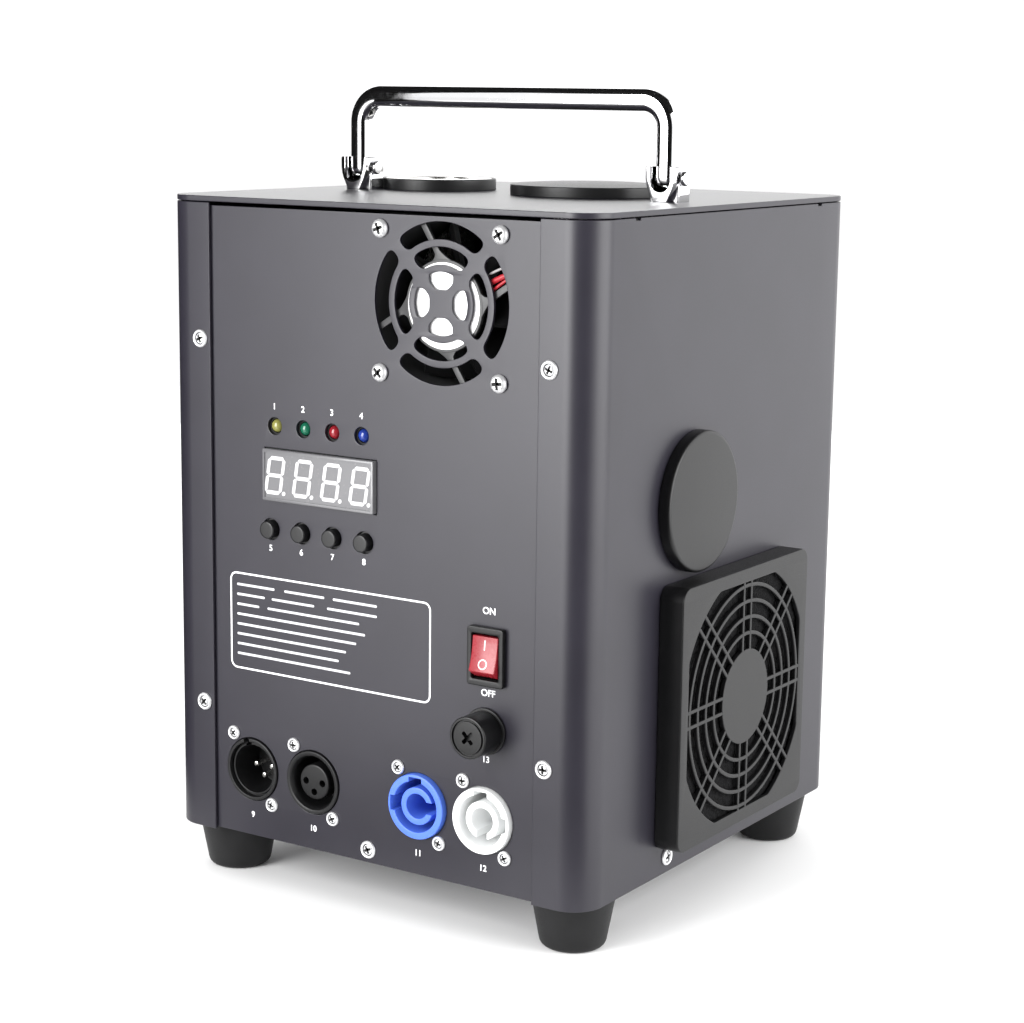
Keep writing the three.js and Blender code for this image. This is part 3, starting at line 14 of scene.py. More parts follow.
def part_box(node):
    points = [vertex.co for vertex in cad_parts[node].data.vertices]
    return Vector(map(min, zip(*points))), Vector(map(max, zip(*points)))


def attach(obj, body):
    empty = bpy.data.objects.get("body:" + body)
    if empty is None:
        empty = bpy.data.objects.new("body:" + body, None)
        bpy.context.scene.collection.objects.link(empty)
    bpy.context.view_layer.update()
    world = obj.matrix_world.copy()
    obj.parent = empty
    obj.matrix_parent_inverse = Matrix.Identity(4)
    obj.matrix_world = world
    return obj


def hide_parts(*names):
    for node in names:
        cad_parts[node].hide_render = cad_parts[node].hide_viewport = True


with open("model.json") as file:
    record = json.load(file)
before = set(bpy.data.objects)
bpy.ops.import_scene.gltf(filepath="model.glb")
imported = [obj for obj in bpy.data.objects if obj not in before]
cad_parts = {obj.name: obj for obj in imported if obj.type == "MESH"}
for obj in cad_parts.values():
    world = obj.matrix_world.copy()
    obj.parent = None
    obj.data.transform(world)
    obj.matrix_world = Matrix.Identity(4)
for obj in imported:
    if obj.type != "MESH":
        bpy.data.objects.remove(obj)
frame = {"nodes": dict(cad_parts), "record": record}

bl_info = {
    "name": "Cold spark machine",
    "version": (1, 0, 0),
    "blender": (4, 5, 0),
    "location": "View3D > Sidebar > Spark",
    "description": "Builds the case, handle, top, control panel and filtered fan of a cold spark machine",
    "category": "Object",
}

MM = 0.001
CREASE = math.radians(32)
FINISH = {}
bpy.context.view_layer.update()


# Sizes and colours that a user would change


def length(label, about, millimetres):
    """A length setting given in millimetres."""
    default = millimetres * MM
    return FloatProperty(name=label, description=about, default=default, min=0.0, unit="LENGTH", precision=5)


def tint(label, about, red, green, blue):
    """A base colour setting."""
    base = (red, green, blue)
    return FloatVectorProperty(name=label, description=about, default=base, min=0.0, max=1.0, subtype="COLOR")


def turn_setting(label, about, degrees):
    """A turn setting given in degrees."""
    return FloatProperty(name=label, description=about, default=math.radians(degrees), subtype="ANGLE")


def brightness(label, about, share):
    """A light's brightness as a share of white."""
    return FloatProperty(name=label, description=about, default=share, min=0.0)


class CaseSizes(PropertyGroup):
    """Folded sheet case and feet."""

    corner: length("Corner radius", "Radius of the folded corners seen from above", 12)
    sheet: length("Sheet", "Thickness of the folded sheet", 1.2)
    flange: length("Flange", "Width of the cover's folded flange beside the panel", 21.5)
    fold: length("Edge radius", "Radius of the pressed and cut edges", 0.35)
    notch_width: length("Notch width", "Width of the notches under the top plate", 3)
    notch_depth: length("Notch depth", "Depth of the notches under the top plate", 1.2)
    notch_place: length("Notch place", "Distance of the notches from the middle of the side", 68.4)
    foot_edge: length("Foot edge", "Radius of the feet's lower edge", 2.6)
    foot_base: length("Foot base", "Radius of the feet at the floor", 11.6)
    seam: length("Seam", "Gap between the cover and the top plate", 0.35)


class HandleSizes(PropertyGroup):
    """Folding handle and its brackets."""

    rod: length("Rod half width", "Half the rod's width", 4)
    rod_corner: length("Rod corner radius", "Radius of the rod's four edges", 3)
    bend: length("Bend radius", "Radius of the rod's bends at its centre line", 10)
    bracket_width: length("Bracket width", "Width of each bracket", 12)
    bracket_foot: length("Bracket foot", "Width of the bracket's front web where it meets the top plate", 5.6)
    bracket_back: length("Bracket back", "Thickness of the wall behind the rod", 1.6)
    pin: length("Pin radius", "Radius of the pivot pins", 1.5)
    pin_head: length("Pin head radius", "Radius of the pivot pins' heads", 2.6)


class TopSizes(PropertyGroup):
    """Spark outlet and hopper."""

    outlet_lip: length("Outlet lip", "Width of the black lip round the bright plate", 1.4)
    bore: length("Spark bore", "Radius of the bore that the sparks leave by", 12.5)
    lid_crown: length("Lid crown", "Rise of the hopper lid's face to its middle", 1.1)
    lid_edge: length("Lid edge", "Radius of the hopper lid's upper edge", 1.1)
    hopper_wall: length("Hopper wall", "Thickness of the hopper's sheet", 1.2)


class PanelSizes(PropertyGroup):
    """Control panel."""

    vent_radius: length("Vent corner radius", "Radius of the corners of the pressed slots", 2.9)
    vent_bridge: length("Vent bridge", "Width of the bridges between the pressed slots", 4.2)
    flange_screw: length("Flange screw radius", "Radius of the screws in the cover's flanges", 3.3)
    connector_screw: length("Connector screw radius", "Radius of the screws beside the connectors", 2.7)
    print_line: length("Printed line", "Width of the printed outline", 0.65)
    print_depth: length("Print depth", "Thickness of the printed ink", 0.05)
    numbers: length("Number height", "Height of the printed numbers", 2.6)
    switch_words: length("Switch word height", "Height of the words at the switch", 2.4)


class GuardSizes(PropertyGroup):
    """Fan guard on the side."""

    hub: length("Guard hub radius", "Radius of the solid disc in the grille", 17.8)
    ring: length("Ring width", "Width of each round rib", 1.5)
    rib: length("Rib width", "Width of each straight rib", 1.4)
    rib_gap: length("Rib gap", "Space between the two ribs of a pair", 4.2)
    face: length("Face thickness", "Thickness of the guard's face", 1.8)
    rim: length("Rim", "Width of the guard's face beside the opening", 5.25)
    rings: IntProperty(name="Rings", description="Number of round ribs", default=4, min=1)
    pairs: IntProperty(name="Rib pairs", description="Number of pairs of straight ribs", default=8, min=3)


class Finishes(PropertyGroup):
    """Base colours of the main finishes."""

    coat: tint("Case coat", "Powder coat of the case and panel", 0.0166, 0.0152, 0.0222)
    plastic: tint("Black plastic", "Mouldings", 0.006, 0.006, 0.0065)
    rubber: tint("Rubber", "Feet and side plug", 0.005, 0.005, 0.0055)
    chrome: tint("Chrome", "Handle and brackets", 0.86, 0.86, 0.87)
    zinc: tint("Zinc steel", "Screws and inner sheet", 0.72, 0.72, 0.73)
    stainless: tint("Stainless steel", "Outlet plate and hopper", 0.74, 0.73, 0.71)
    ink: tint("Ink", "Printed marks", 0.86, 0.86, 0.88)
    power_in: tint("Power inlet", "Inlet moulding", 0.075, 0.165, 0.66)
    power_out: tint("Power outlet", "Outlet moulding", 0.82, 0.83, 0.83)
    rocker: tint("Rocker", "Switch rocker", 0.24, 0.012, 0.02)
    display: tint("Display", "Unlit display face", 0.115, 0.114, 0.12)


class StageSettings(PropertyGroup):
    """Camera and light."""

    lens: FloatProperty(name="Lens", description="Focal length for a 36 mm sensor", default=80.5, min=1.0)
    yaw: turn_setting("Yaw", "Camera's turn to the right of the panel", 33.38)
    pitch: turn_setting("Pitch", "Camera's angle above the horizon", 10.48)
    roll: turn_setting("Roll", "Camera's roll", 0.70)
    front: brightness("Front light", "Brightness of the light at the front left", 10.6)
    side: brightness("Side light", "Brightness of the light at the right", 5.5)
    back: brightness("Back light", "Brightness of the light at the back right", 0.88)
    far: brightness("Far light", "Brightness of the low light behind the machine", 1.6)
    sky: brightness("Surround", "Brightness of the white surround", 1.1)


# Shapes as whole arrays


def arc(x, y, radius, start, stop, steps):
    """Points at equal angles on a circle: centre plus radius times (cosine, sine) of the angle."""
    angle = np.linspace(start, stop, steps + 1)
    return np.stack([x + radius * np.cos(angle), y + radius * np.sin(angle)], -1)


def circle(x, y, radius, steps=64):
    """A full circle, listed without its repeated last point."""
    return arc(x, y, radius, 0.0, math.tau, steps)[:-1]


def rectangle(x, y, width, height):
    """Four corners of an upright rectangle, anticlockwise from the lower left."""
    sides = np.array([[-1, -1], [1, -1], [1, 1], [-1, 1]], float) / 2
    return np.array([x, y]) + sides * np.array([width, height])


def eased(points, cut, steps=6, closed=True):
    """Each corner becomes a quadratic curve that leaves one edge and joins the next at the cut's distance."""
    points = np.asarray(points, float)
    before = np.roll(points, 1, 0) - points
    after = np.roll(points, -1, 0) - points
    reach = np.broadcast_to(np.asarray(cut, float), len(points)).copy()
    if not closed:
        reach[0] = reach[-1] = 0.0
    span_before = np.linalg.norm(before, axis=1)
    span_after = np.linalg.norm(after, axis=1)
    reach = np.minimum(reach, 0.49 * np.minimum(span_before, span_after))
    enter = points + before / np.maximum(span_before, 1e-12)[:, None] * reach[:, None]
    leave = points + after / np.maximum(span_after, 1e-12)[:, None] * reach[:, None]
    share = np.linspace(0.0, 1.0, steps + 1)[None, :, None]
    curve = (1 - share) ** 2 * enter[:, None]
    curve = curve + 2 * share * (1 - share) * points[:, None] + share**2 * leave[:, None]
    if closed:
        return curve.reshape(-1, 2)
    return np.concatenate([points[:1], curve[1:-1].reshape(-1, 2), points[-1:]])


def rounded_rectangle(x, y, width, height, radius, steps=8):
    """A rectangle whose corners are quarter circles of the radius."""
    a, b = width / 2 - radius, height / 2 - radius
    quarter = math.pi / 2
    corners = [
        arc(x + a, y + b, radius, 0, quarter, steps),
        arc(x - a, y + b, radius, quarter, 2 * quarter, steps),
        arc(x - a, y - b, radius, 2 * quarter, 3 * quarter, steps),
        arc(x + a, y - b, radius, 3 * quarter, 4 * quarter, steps),
    ]
    return np.concatenate(corners)


def turned_points(points, angle):
    """The points turned about their origin by the angle."""
    c, s = math.cos(angle), math.sin(angle)
    return np.asarray(points) @ np.array([[c, s], [-s, c]])


def grid_mesh(name, points, wrap_rows=False, wrap_columns=True, capped=True):
    """Four-sided faces between neighbours in a grid of points, with the end rows closed where capped."""
    rows, columns = points.shape[:2]
    index = np.arange(rows * columns).reshape(rows, columns)
    first = index if wrap_rows else index[:-1]
    second = np.roll(index, -1, 0) if wrap_rows else index[1:]
    if wrap_columns:
        quads = np.stack([first, np.roll(first, -1, 1), np.roll(second, -1, 1), second], -1)
    else:
        quads = np.stack([first[:, :-1], first[:, 1:], second[:, 1:], second[:, :-1]], -1)
    faces = quads.reshape(-1, 4).tolist()
    if capped and not wrap_rows:
        faces += [index[0][::-1].tolist(), index[-1].tolist()]
    mesh = bpy.data.meshes.new(name)
    mesh.from_pydata(points.reshape(-1, 3).tolist(), [], faces)
    return mesh


def turned(name, profile, x=0.0, y=0.0, steps=64, closed=False):
    """A body turned about Z: each profile point sweeps (radius cosine, radius sine, height)."""
    profile = np.asarray(profile, float)
    angle = np.linspace(0.0, math.tau, steps, endpoint=False)
    radius, height = profile[:, :1], profile[:, 1:]
    points = np.stack(
        [
            x + radius * np.cos(angle), y + radius * np.sin(angle),
            np.broadcast_to(height, (len(profile), steps)),
        ], -1
    )
    return grid_mesh(name, points, wrap_rows=closed, capped=False)


def disc(name, radius, low, high, lower_edge, upper_edge, x=0.0, y=0.0, steps=128):
    """A short turned cylinder whose two rims are eased by their own amounts."""
    profile = [(0, low), (radius, low), (radius, high), (0, high)]
    return turned(name, eased(profile, [0, lower_edge, upper_edge, 0], closed=False), x, y, steps)


def slab(name, outline, low, high, edge=0.0):
    """A closed outline carried straight up, its rims drawn in by a quarter circle of the edge radius."""
    outline = np.asarray(outline, float)
    if edge <= 0:
        levels, inset = np.array([low, high]), np.zeros(2)
    else:
        turn = np.linspace(0.0, math.pi / 2, 4)
        inset = edge * np.concatenate([1 - np.sin(turn), 1 - np.sin(turn[::-1])])
        levels = np.concatenate([low + edge * (1 - np.cos(turn)), high - edge * (1 - np.cos(turn[::-1]))])
    ahead = np.roll(outline, -1, 0) - outline
    ahead /= np.maximum(np.linalg.norm(ahead, axis=1, keepdims=True), 1e-12)
    behind = np.roll(ahead, 1, 0)
    across = np.stack([-ahead[:, 1] - behind[:, 1], ahead[:, 0] + behind[:, 0]], -1)
    across /= np.maximum(1 + (ahead * behind).sum(1, keepdims=True), 0.2)
    area = 0.5 * np.sum(
        outline[:, 0] * np.roll(outline[:, 1], -1) - outline[:, 1] * np.roll(outline[:, 0], -1)
    )
    across *= math.copysign(1.0, area)
    flat = outline[None] + inset[:, None, None] * across[None]
    height = np.broadcast_to(levels[:, None, None], (len(levels), len(outline), 1))
    return grid_mesh(name, np.concatenate([flat, height], -1))


def swept(name, path, section, side, scale=None):
    """A section carried along a path: centre plus its numbers along the normal and the side."""
    path = np.asarray(path, float)
    side = np.asarray(side, float)
    along = np.gradient(path, axis=0)
    along /= np.linalg.norm(along, axis=1, keepdims=True)
    normal = np.cross(side[None], along)
    size = np.ones(len(path)) if scale is None else np.asarray(scale, float)
    section = size[:, None, None] * np.asarray(section, float)[None]
    points = path[:, None] + section[..., :1] * normal[:, None] + section[..., 1:] * side[None, None]
    return grid_mesh(name, points)


def sheet_part(name, outline, holes, low, high, edge=0.0):
    """A flat filled curve with holes, given its thickness and rounded edges and made a mesh."""
    curve = bpy.data.curves.new(name, "CURVE")
    curve.dimensions = "2D"
    curve.fill_mode = "BOTH"
    curve.extrude = (high - low) / 2 - edge
    curve.bevel_depth = edge
    curve.bevel_resolution = 1
    curve.offset = -edge
    for ring in [outline, *holes]:
        ring = np.asarray(ring, float)
        spline = curve.splines.new("POLY")
        spline.points.add(len(ring) - 1)
        flat = np.concatenate([ring, np.zeros((len(ring), 1)), np.ones((len(ring), 1))], 1)
        spline.points.foreach_set("co", flat.ravel().tolist())
        spline.use_cyclic_u = True
    mesh = made_mesh(bpy.data.objects.new(name, curve))
    mesh.transform(Matrix.Translation((0, 0, (low + high) / 2)))
    return mesh


def letters(name, text, height, x, y, low, high):
    """Words or numbers as a flat mesh, centred on a place."""
    curve = bpy.data.curves.new(name, "FONT")
    curve.body = text
    curve.size = height / 0.7
    curve.align_x = "CENTER"
    curve.align_y = "CENTER"
    curve.extrude = (high - low) / 2
    curve.offset = height * 0.022
    mesh = made_mesh(bpy.data.objects.new(name, curve))
    mesh.transform(Matrix.Translation((x, y, (low + high) / 2)))
    return mesh


def made_mesh(source):
    """The finished mesh of a curve or of an object with modifiers, which are both dropped."""
    bpy.context.scene.collection.objects.link(source)
    graph = bpy.context.evaluated_depsgraph_get()
    mesh = bpy.data.meshes.new_from_object(source.evaluated_get(graph), depsgraph=graph)
    data = source.data
    bpy.data.objects.remove(source)
    if isinstance(data, bpy.types.Mesh):
        bpy.data.meshes.remove(data)
    else:
        bpy.data.curves.remove(data)
    return mesh


def shaped(mesh, operation, *tools):
    """The mesh with each tool cut away or joined on, worked out exactly."""
    body = bpy.data.objects.new(mesh.name, mended(mesh))
    helpers = []
    for tool in tools:
        helper = bpy.data.objects.new(tool.name, mended(tool))
        bpy.context.scene.collection.objects.link(helper)
        helpers.append(helper)
        modifier = body.modifiers.new(tool.name, "BOOLEAN")
        modifier.operation = operation
        modifier.solver = "EXACT"
        modifier.object = helper
    result = made_mesh(body)
    for helper in helpers:
        tool = helper.data
        bpy.data.objects.remove(helper)
        bpy.data.meshes.remove(tool)
    return result


def cut(mesh, *tools):
    return shaped(mesh, "DIFFERENCE", *tools)


def joined(name, *meshes):
    """Several meshes as one, each keeping its own closed form."""
    whole = bmesh.new()
    for mesh in meshes:
        whole.from_mesh(mesh)
        bpy.data.meshes.remove(mesh)
    result = bpy.data.meshes.new(name)
    whole.to_mesh(result)
    whole.free()
    return result


def mended(mesh):
    """Doubles merged, slivers dissolved and faces turned outwards."""
    work = bmesh.new()
    work.from_mesh(mesh)
    bmesh.ops.remove_doubles(work, verts=work.verts, dist=2e-6)
    bmesh.ops.dissolve_degenerate(work, edges=work.edges, dist=1e-6)
    bmesh.ops.recalc_face_normals(work, faces=work.faces)
    work.to_mesh(mesh)
    work.free()
    return mesh


def moved(mesh, x=0.0, y=0.0, z=0.0):
    mesh.transform(Matrix.Translation((x, y, z)))
    return mesh


def spun(mesh, angle, axis="Z"):
    mesh.transform(Matrix.Rotation(angle, 4, axis))
    return mesh


def placed(mesh, matrix):
    mesh.transform(matrix)
    return mesh


# Places in the frame


def node_box(name):
    low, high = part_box(name)
    return np.array(low), np.array(high)


def face_matrix(right, up, out, origin):
    """The turn and shift that lays a flat drawing on a face of the machine."""
    matrix = Matrix((right, up, out)).transposed().to_4x4()
    matrix.translation = Vector(origin)
    return matrix


PANEL_FACE = float(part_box("rear_panel")[0].y)
SIDE_FACE = float(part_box("cover_wrap")[1].x)
TOP_FACE = float(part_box("top_plate")[1].z)
ON_PANEL = face_matrix((1, 0, 0), (0, 0, 1), (0, -1, 0), (0, PANEL_FACE, 0))
ON_SIDE = face_matrix((0, 1, 0), (0, 0, 1), (1, 0, 0), (SIDE_FACE, 0, 0))
ON_TOP = Matrix.Translation((0, 0, TOP_FACE))
UPRIGHT = Matrix.Identity(4)


def on_panel(node):
    """Middle of a node on the panel: across and up."""
    low, high = node_box(node)
    return (low[0] + high[0]) / 2, (low[2] + high[2]) / 2


def on_side(node):
    """Middle of a node on the fan side: across and up."""
    low, high = node_box(node)
    return (low[1] + high[1]) / 2, (low[2] + high[2]) / 2


def depth_on_panel(node):
    """How far a node's back and front stand out of the panel."""
    low, high = node_box(node)
    return PANEL_FACE - float(high[1]), PANEL_FACE - float(low[1])


def depth_on_side(node):
    """How far a node's back and front stand out of the fan side."""
    low, high = node_box(node)
    return float(low[0]) - SIDE_FACE, float(high[0]) - SIDE_FACE


def body_of_node(node):
    bodies = frame["record"]["behaviour"]["bodies"]
    return next(body for body, members in bodies.items() if node in members)


def slot_of_node(node):
    return next(part["material_slot"] for part in frame["record"]["subparts"] if part["node"] == node)


def add_piece(name, mesh, matrix, finish, body="case", node=None, bevel=0.0, even=False):
    """Puts a finished mesh in its place, on its body, with its material, for the node it stands for."""
    replaces = (node,) if node else ()
    mesh.name = name
    mesh.transform(matrix)
    mended(mesh)
    if not len(mesh.polygons):
        raise RuntimeError(f"{name} came out empty")
    mesh.materials.clear()
    mesh.materials.append(FINISH[finish])
    mesh.shade_smooth()
    mesh.set_sharp_from_angle(angle=CREASE)
    piece = bpy.data.objects.new(name, mesh)
    bpy.context.scene.collection.objects.link(piece)
    if bevel > 0:
        rounding = piece.modifiers.new("edges", "BEVEL")
        rounding.width = bevel
        rounding.segments = 2
        rounding.limit_method = "ANGLE"
        rounding.angle_limit = CREASE
        rounding.harden_normals = True
    if even:
        flatness = piece.modifiers.new("flatness", "WEIGHTED_NORMAL")
        flatness.keep_sharp = True
    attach(piece, body)
    if replaces:
        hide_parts(*replaces)


# Finishes


def new_material(name):
    material = bpy.data.materials.new(name)
    material.use_nodes = True
    nodes = material.node_tree.nodes
    nodes.clear()
    shader = nodes.new("ShaderNodeBsdfPrincipled")
    output = nodes.new("ShaderNodeOutputMaterial")
    material.node_tree.links.new(shader.outputs["BSDF"], output.inputs["Surface"])
    return material, shader


def noise(material, scale, detail=3.0, stretch=(1.0, 1.0, 1.0), roughness=0.55):
    """Noise on the object's own coordinates, stretched along its axes."""
    nodes, links = material.node_tree.nodes, material.node_tree.links
    place = nodes.new("ShaderNodeTexCoord")
    mapping = nodes.new("ShaderNodeMapping")
    mapping.inputs["Scale"].default_value = stretch
    pattern = nodes.new("ShaderNodeTexNoise")
    pattern.inputs["Scale"].default_value = scale
    pattern.inputs["Detail"].default_value = detail
    pattern.inputs["Roughness"].default_value = roughness
    links.new(place.outputs["Object"], mapping.inputs["Vector"])
    links.new(mapping.outputs["Vector"], pattern.inputs["Vector"])
    return pattern.outputs["Fac"]


def ramp(material, source, low, high, start=0.3, stop=0.7):
    """Colours between two ends along a pattern."""
    node = material.node_tree.nodes.new("ShaderNodeValToRGB")
    node.color_ramp.elements[0].position = start
    node.color_ramp.elements[1].position = stop
    node.color_ramp.elements[0].color = (*low, 1)
    node.color_ramp.elements[1].color = (*high, 1)
    material.node_tree.links.new(source, node.inputs["Fac"])
    return node.outputs["Color"]


def spread(material, source, low, high):
    """A number between two ends along a pattern."""
    node = material.node_tree.nodes.new("ShaderNodeMapRange")
    node.inputs["From Min"].default_value = 0.3
    node.inputs["From Max"].default_value = 0.7
    node.inputs["To Min"].default_value = low
    node.inputs["To Max"].default_value = high
    material.node_tree.links.new(source, node.inputs["Value"])
    return node.outputs["Result"]


def bump(material, source, strength, distance, below=None):
    node = material.node_tree.nodes.new("ShaderNodeBump")
    node.inputs["Strength"].default_value = strength
    node.inputs["Distance"].default_value = distance
    material.node_tree.links.new(source, node.inputs["Height"])
    if below is not None:
        material.node_tree.links.new(below, node.inputs["Normal"])
    return node.outputs["Normal"]


def surface(
    name, colour, rough, metallic=0.0, vary=0.08, mottle=60.0, grain=1500.0, relief=0.1, depth=0.05 * MM,
    stretch=(1.0, 1.0, 1.0), rough_vary=0.06, coat=0.0, specular=0.5,
):
    """A finish whose colour, roughness and fine relief all change over the surface."""
    material, shader = new_material(name)
    links = material.node_tree.links
    cloud = noise(material, mottle)
    fine = noise(material, grain, 2.0, stretch)
    colour = np.array(colour[:])
    low, high = np.clip(colour * (1 - vary), 0, 1), np.clip(colour * (1 + vary), 0, 1)
    smooth, matt = max(rough - rough_vary, 0.02), min(rough + rough_vary, 1)
    links.new(ramp(material, cloud, low, high), shader.inputs["Base Color"])
    links.new(spread(material, fine, smooth, matt), shader.inputs["Roughness"])
    links.new(bump(material, fine, relief, depth), shader.inputs["Normal"])
    shader.inputs["Metallic"].default_value = metallic
    shader.inputs["Specular IOR Level"].default_value = specular
    shader.inputs["Coat Weight"].default_value = coat
    shader.inputs["Coat Roughness"].default_value = 0.08
    return material


# Each finish: a colour, or the name of one that a user sets, and what differs from the usual surface
SURFACES = {
    "case_coat": dict(
        colour="coat", rough=0.37, vary=0.08, mottle=35, grain=2600, relief=0.12, depth=0.03 * MM,
        rough_vary=0.03,
    ),
    "foot_rubber": dict(
        colour="rubber", rough=0.5, vary=0.2, mottle=140, grain=3200, relief=0.2, specular=0.3,
    ),
    "satin_rubber": dict(
        colour="rubber", rough=0.38, vary=0.15, mottle=60, grain=2800, relief=0.12, depth=0.03 * MM,
        rough_vary=0.03, specular=0.41,
    ),
    "handle_chrome": dict(
        colour="chrome", rough=0.05, metallic=1.0, vary=0.02, mottle=20, grain=420, relief=0.02,
        depth=0.02 * MM, rough_vary=0.02,
    ),
    "zinc_steel": dict(
        colour="zinc", rough=0.2, metallic=1.0, vary=0.04, mottle=300, grain=1800, relief=0.02,
        depth=0.02 * MM, rough_vary=0.05,
    ),
    "stainless": dict(
        colour="stainless", rough=0.3, metallic=1.0, vary=0.05, mottle=90, grain=900, relief=0.08,
        stretch=(1, 9, 1), rough_vary=0.08,
    ),
    "heater_shell": dict(colour=(0.72, 0.68, 0.6), rough=0.75, vary=0.06, mottle=120, grain=1700, relief=0.3),
    "insulation": dict(
        colour=(0.8, 0.75, 0.62), rough=0.95, vary=0.14, mottle=260, grain=1300, relief=0.9, depth=0.6 * MM,
        stretch=(1, 1, 3),
    ),
    "block_aluminium": dict(
        colour=(0.66, 0.67, 0.69), rough=0.34, metallic=1.0, vary=0.04, mottle=80, grain=1000, relief=0.1,
        stretch=(8, 1, 1),
    ),
    "bush_brass": dict(
        colour=(0.72, 0.52, 0.24), rough=0.3, metallic=1.0, vary=0.06, mottle=200, grain=1400, relief=0.08,
    ),
    "black_plastic": dict(
        colour="plastic", rough=0.42, vary=0.15, mottle=90, grain=2400, relief=0.14, rough_vary=0.07,
        specular=0.41,
    ),
    "cap_black": dict(
        colour=(0.003, 0.003, 0.0032), rough=0.36, vary=0.15, mottle=90, grain=2400, relief=0.14,
        rough_vary=0.04, specular=0.45,
    ),
    "strut_black": dict(
        colour=(0.03, 0.03, 0.031), rough=0.4, vary=0.1, mottle=90, grain=2400, relief=0.1, rough_vary=0.04,
    ),
    "screw_plate": dict(
        colour=(0.88, 0.88, 0.89), rough=0.42, metallic=0.75, vary=0.02, mottle=300, grain=1800, relief=0.02,
        depth=0.02 * MM, rough_vary=0.04,
    ),
    "segment": dict(colour=(0.5, 0.5, 0.505), rough=0.5, vary=0.02, mottle=400, grain=2500, relief=0.03),
    "circuit_board": dict(
        colour=(0.02, 0.14, 0.06), rough=0.38, vary=0.3, mottle=420, grain=900, relief=0.35, depth=0.1 * MM,
    ),
    "display_silver": dict(
        colour="display", rough=0.22, vary=0.03, mottle=30, grain=1200, relief=0.03, coat=0.4,
    ),
    "lens_olive": dict(
        colour=(0.19, 0.185, 0.05), rough=0.2, vary=0.12, mottle=700, grain=900, relief=0.05, coat=0.5,
    ),
    "lens_green": dict(
        colour=(0.008, 0.1, 0.055), rough=0.2, vary=0.12, mottle=700, grain=900, relief=0.05, coat=0.5,
    ),
    "lens_red": dict(
        colour=(0.2, 0.01, 0.016), rough=0.2, vary=0.12, mottle=700, grain=900, relief=0.05, coat=0.5,
    ),
    "lens_blue": dict(
        colour=(0.012, 0.03, 0.2), rough=0.2, vary=0.12, mottle=700, grain=900, relief=0.05, coat=0.5,
    ),
    "button_grey": dict(
        colour=(0.005, 0.005, 0.0055), rough=0.38, vary=0.05, mottle=300, grain=2600, relief=0.12,
        rough_vary=0.03,
    ),
    "rocker_red": dict(
        colour="rocker", rough=0.3, vary=0.08, mottle=150, grain=900, relief=0.03, coat=0.1, specular=0.45,
    ),
    "fuse_glass": dict(
        colour=(0.7, 0.74, 0.74), rough=0.08, vary=0.03, mottle=200, grain=900, relief=0.02, coat=0.6,
    ),
    "socket_blue": dict(colour="power_in", rough=0.36, vary=0.05, mottle=120, grain=1900, relief=0.08),
    "socket_white": dict(colour="power_out", rough=0.36, vary=0.025, mottle=120, grain=1900, relief=0.08),
    "filter_foam": dict(
        colour=(0.0045, 0.0045, 0.005), rough=0.95, vary=0.6, mottle=900, grain=1100, relief=1.0,
        depth=1.2 * MM, specular=0.2,
    ),
    "ink": dict(colour="ink", rough=0.5, vary=0.03, mottle=400, grain=2500, relief=0.05),
    "print_rule": dict(colour=(0.52, 0.52, 0.54), rough=0.5, vary=0.12, mottle=700, grain=2500, relief=0.05),
    # Near black and matt. On the screws it is painted shade, on the floors of the cross slots and in the
    # ditches round the heads; it also colours the sleeves round the lenses.
    "recess": dict(colour=(0.006, 0.006, 0.006), rough=0.7, vary=0.2, mottle=300, grain=1500, relief=0.1),
    "silver_label": dict(
        colour=(0.86, 0.86, 0.865), rough=0.35, metallic=0.25, vary=0.02, mottle=60, grain=1100, relief=0.03,
    ),
    "contact": dict(
        colour=(0.86, 0.85, 0.82), rough=0.2, metallic=1.0, vary=0.04, mottle=300, grain=1000, relief=0.04,
    ),
    "rocker_mark": dict(colour=(0.88, 0.8, 0.8), rough=0.35, vary=0.04, mottle=300, grain=1500, relief=0.05),
    "lead_red": dict(colour=(0.34, 0.012, 0.02), rough=0.4, vary=0.1, mottle=400, grain=1500, relief=0.1),
    "lead_pale": dict(colour=(0.3, 0.29, 0.29), rough=0.4, vary=0.1, mottle=400, grain=1500, relief=0.1),
}


def make_finishes(colours):
    """Every finish of the machine, by its name."""
    for name, look in SURFACES.items():
        colour = look["colour"]
        base = getattr(colours, colour) if isinstance(colour, str) else colour
        FINISH[name] = surface(f"{name}_finish", **{**look, "colour": base})


# Pieces


class SPARK_OT_finishes(Operator):
    """Makes the finishes and gives every carried-over piece its own."""

    bl_idname = "spark.finishes"
    bl_label = "Finishes"

    def execute(self, context):
        make_finishes(context.scene.spark_finishes)
        for name, node in frame["nodes"].items():
            node.data.materials.clear()
            node.data.materials.append(FINISH[slot_of_node(name)])
        return {"FINISHED"}


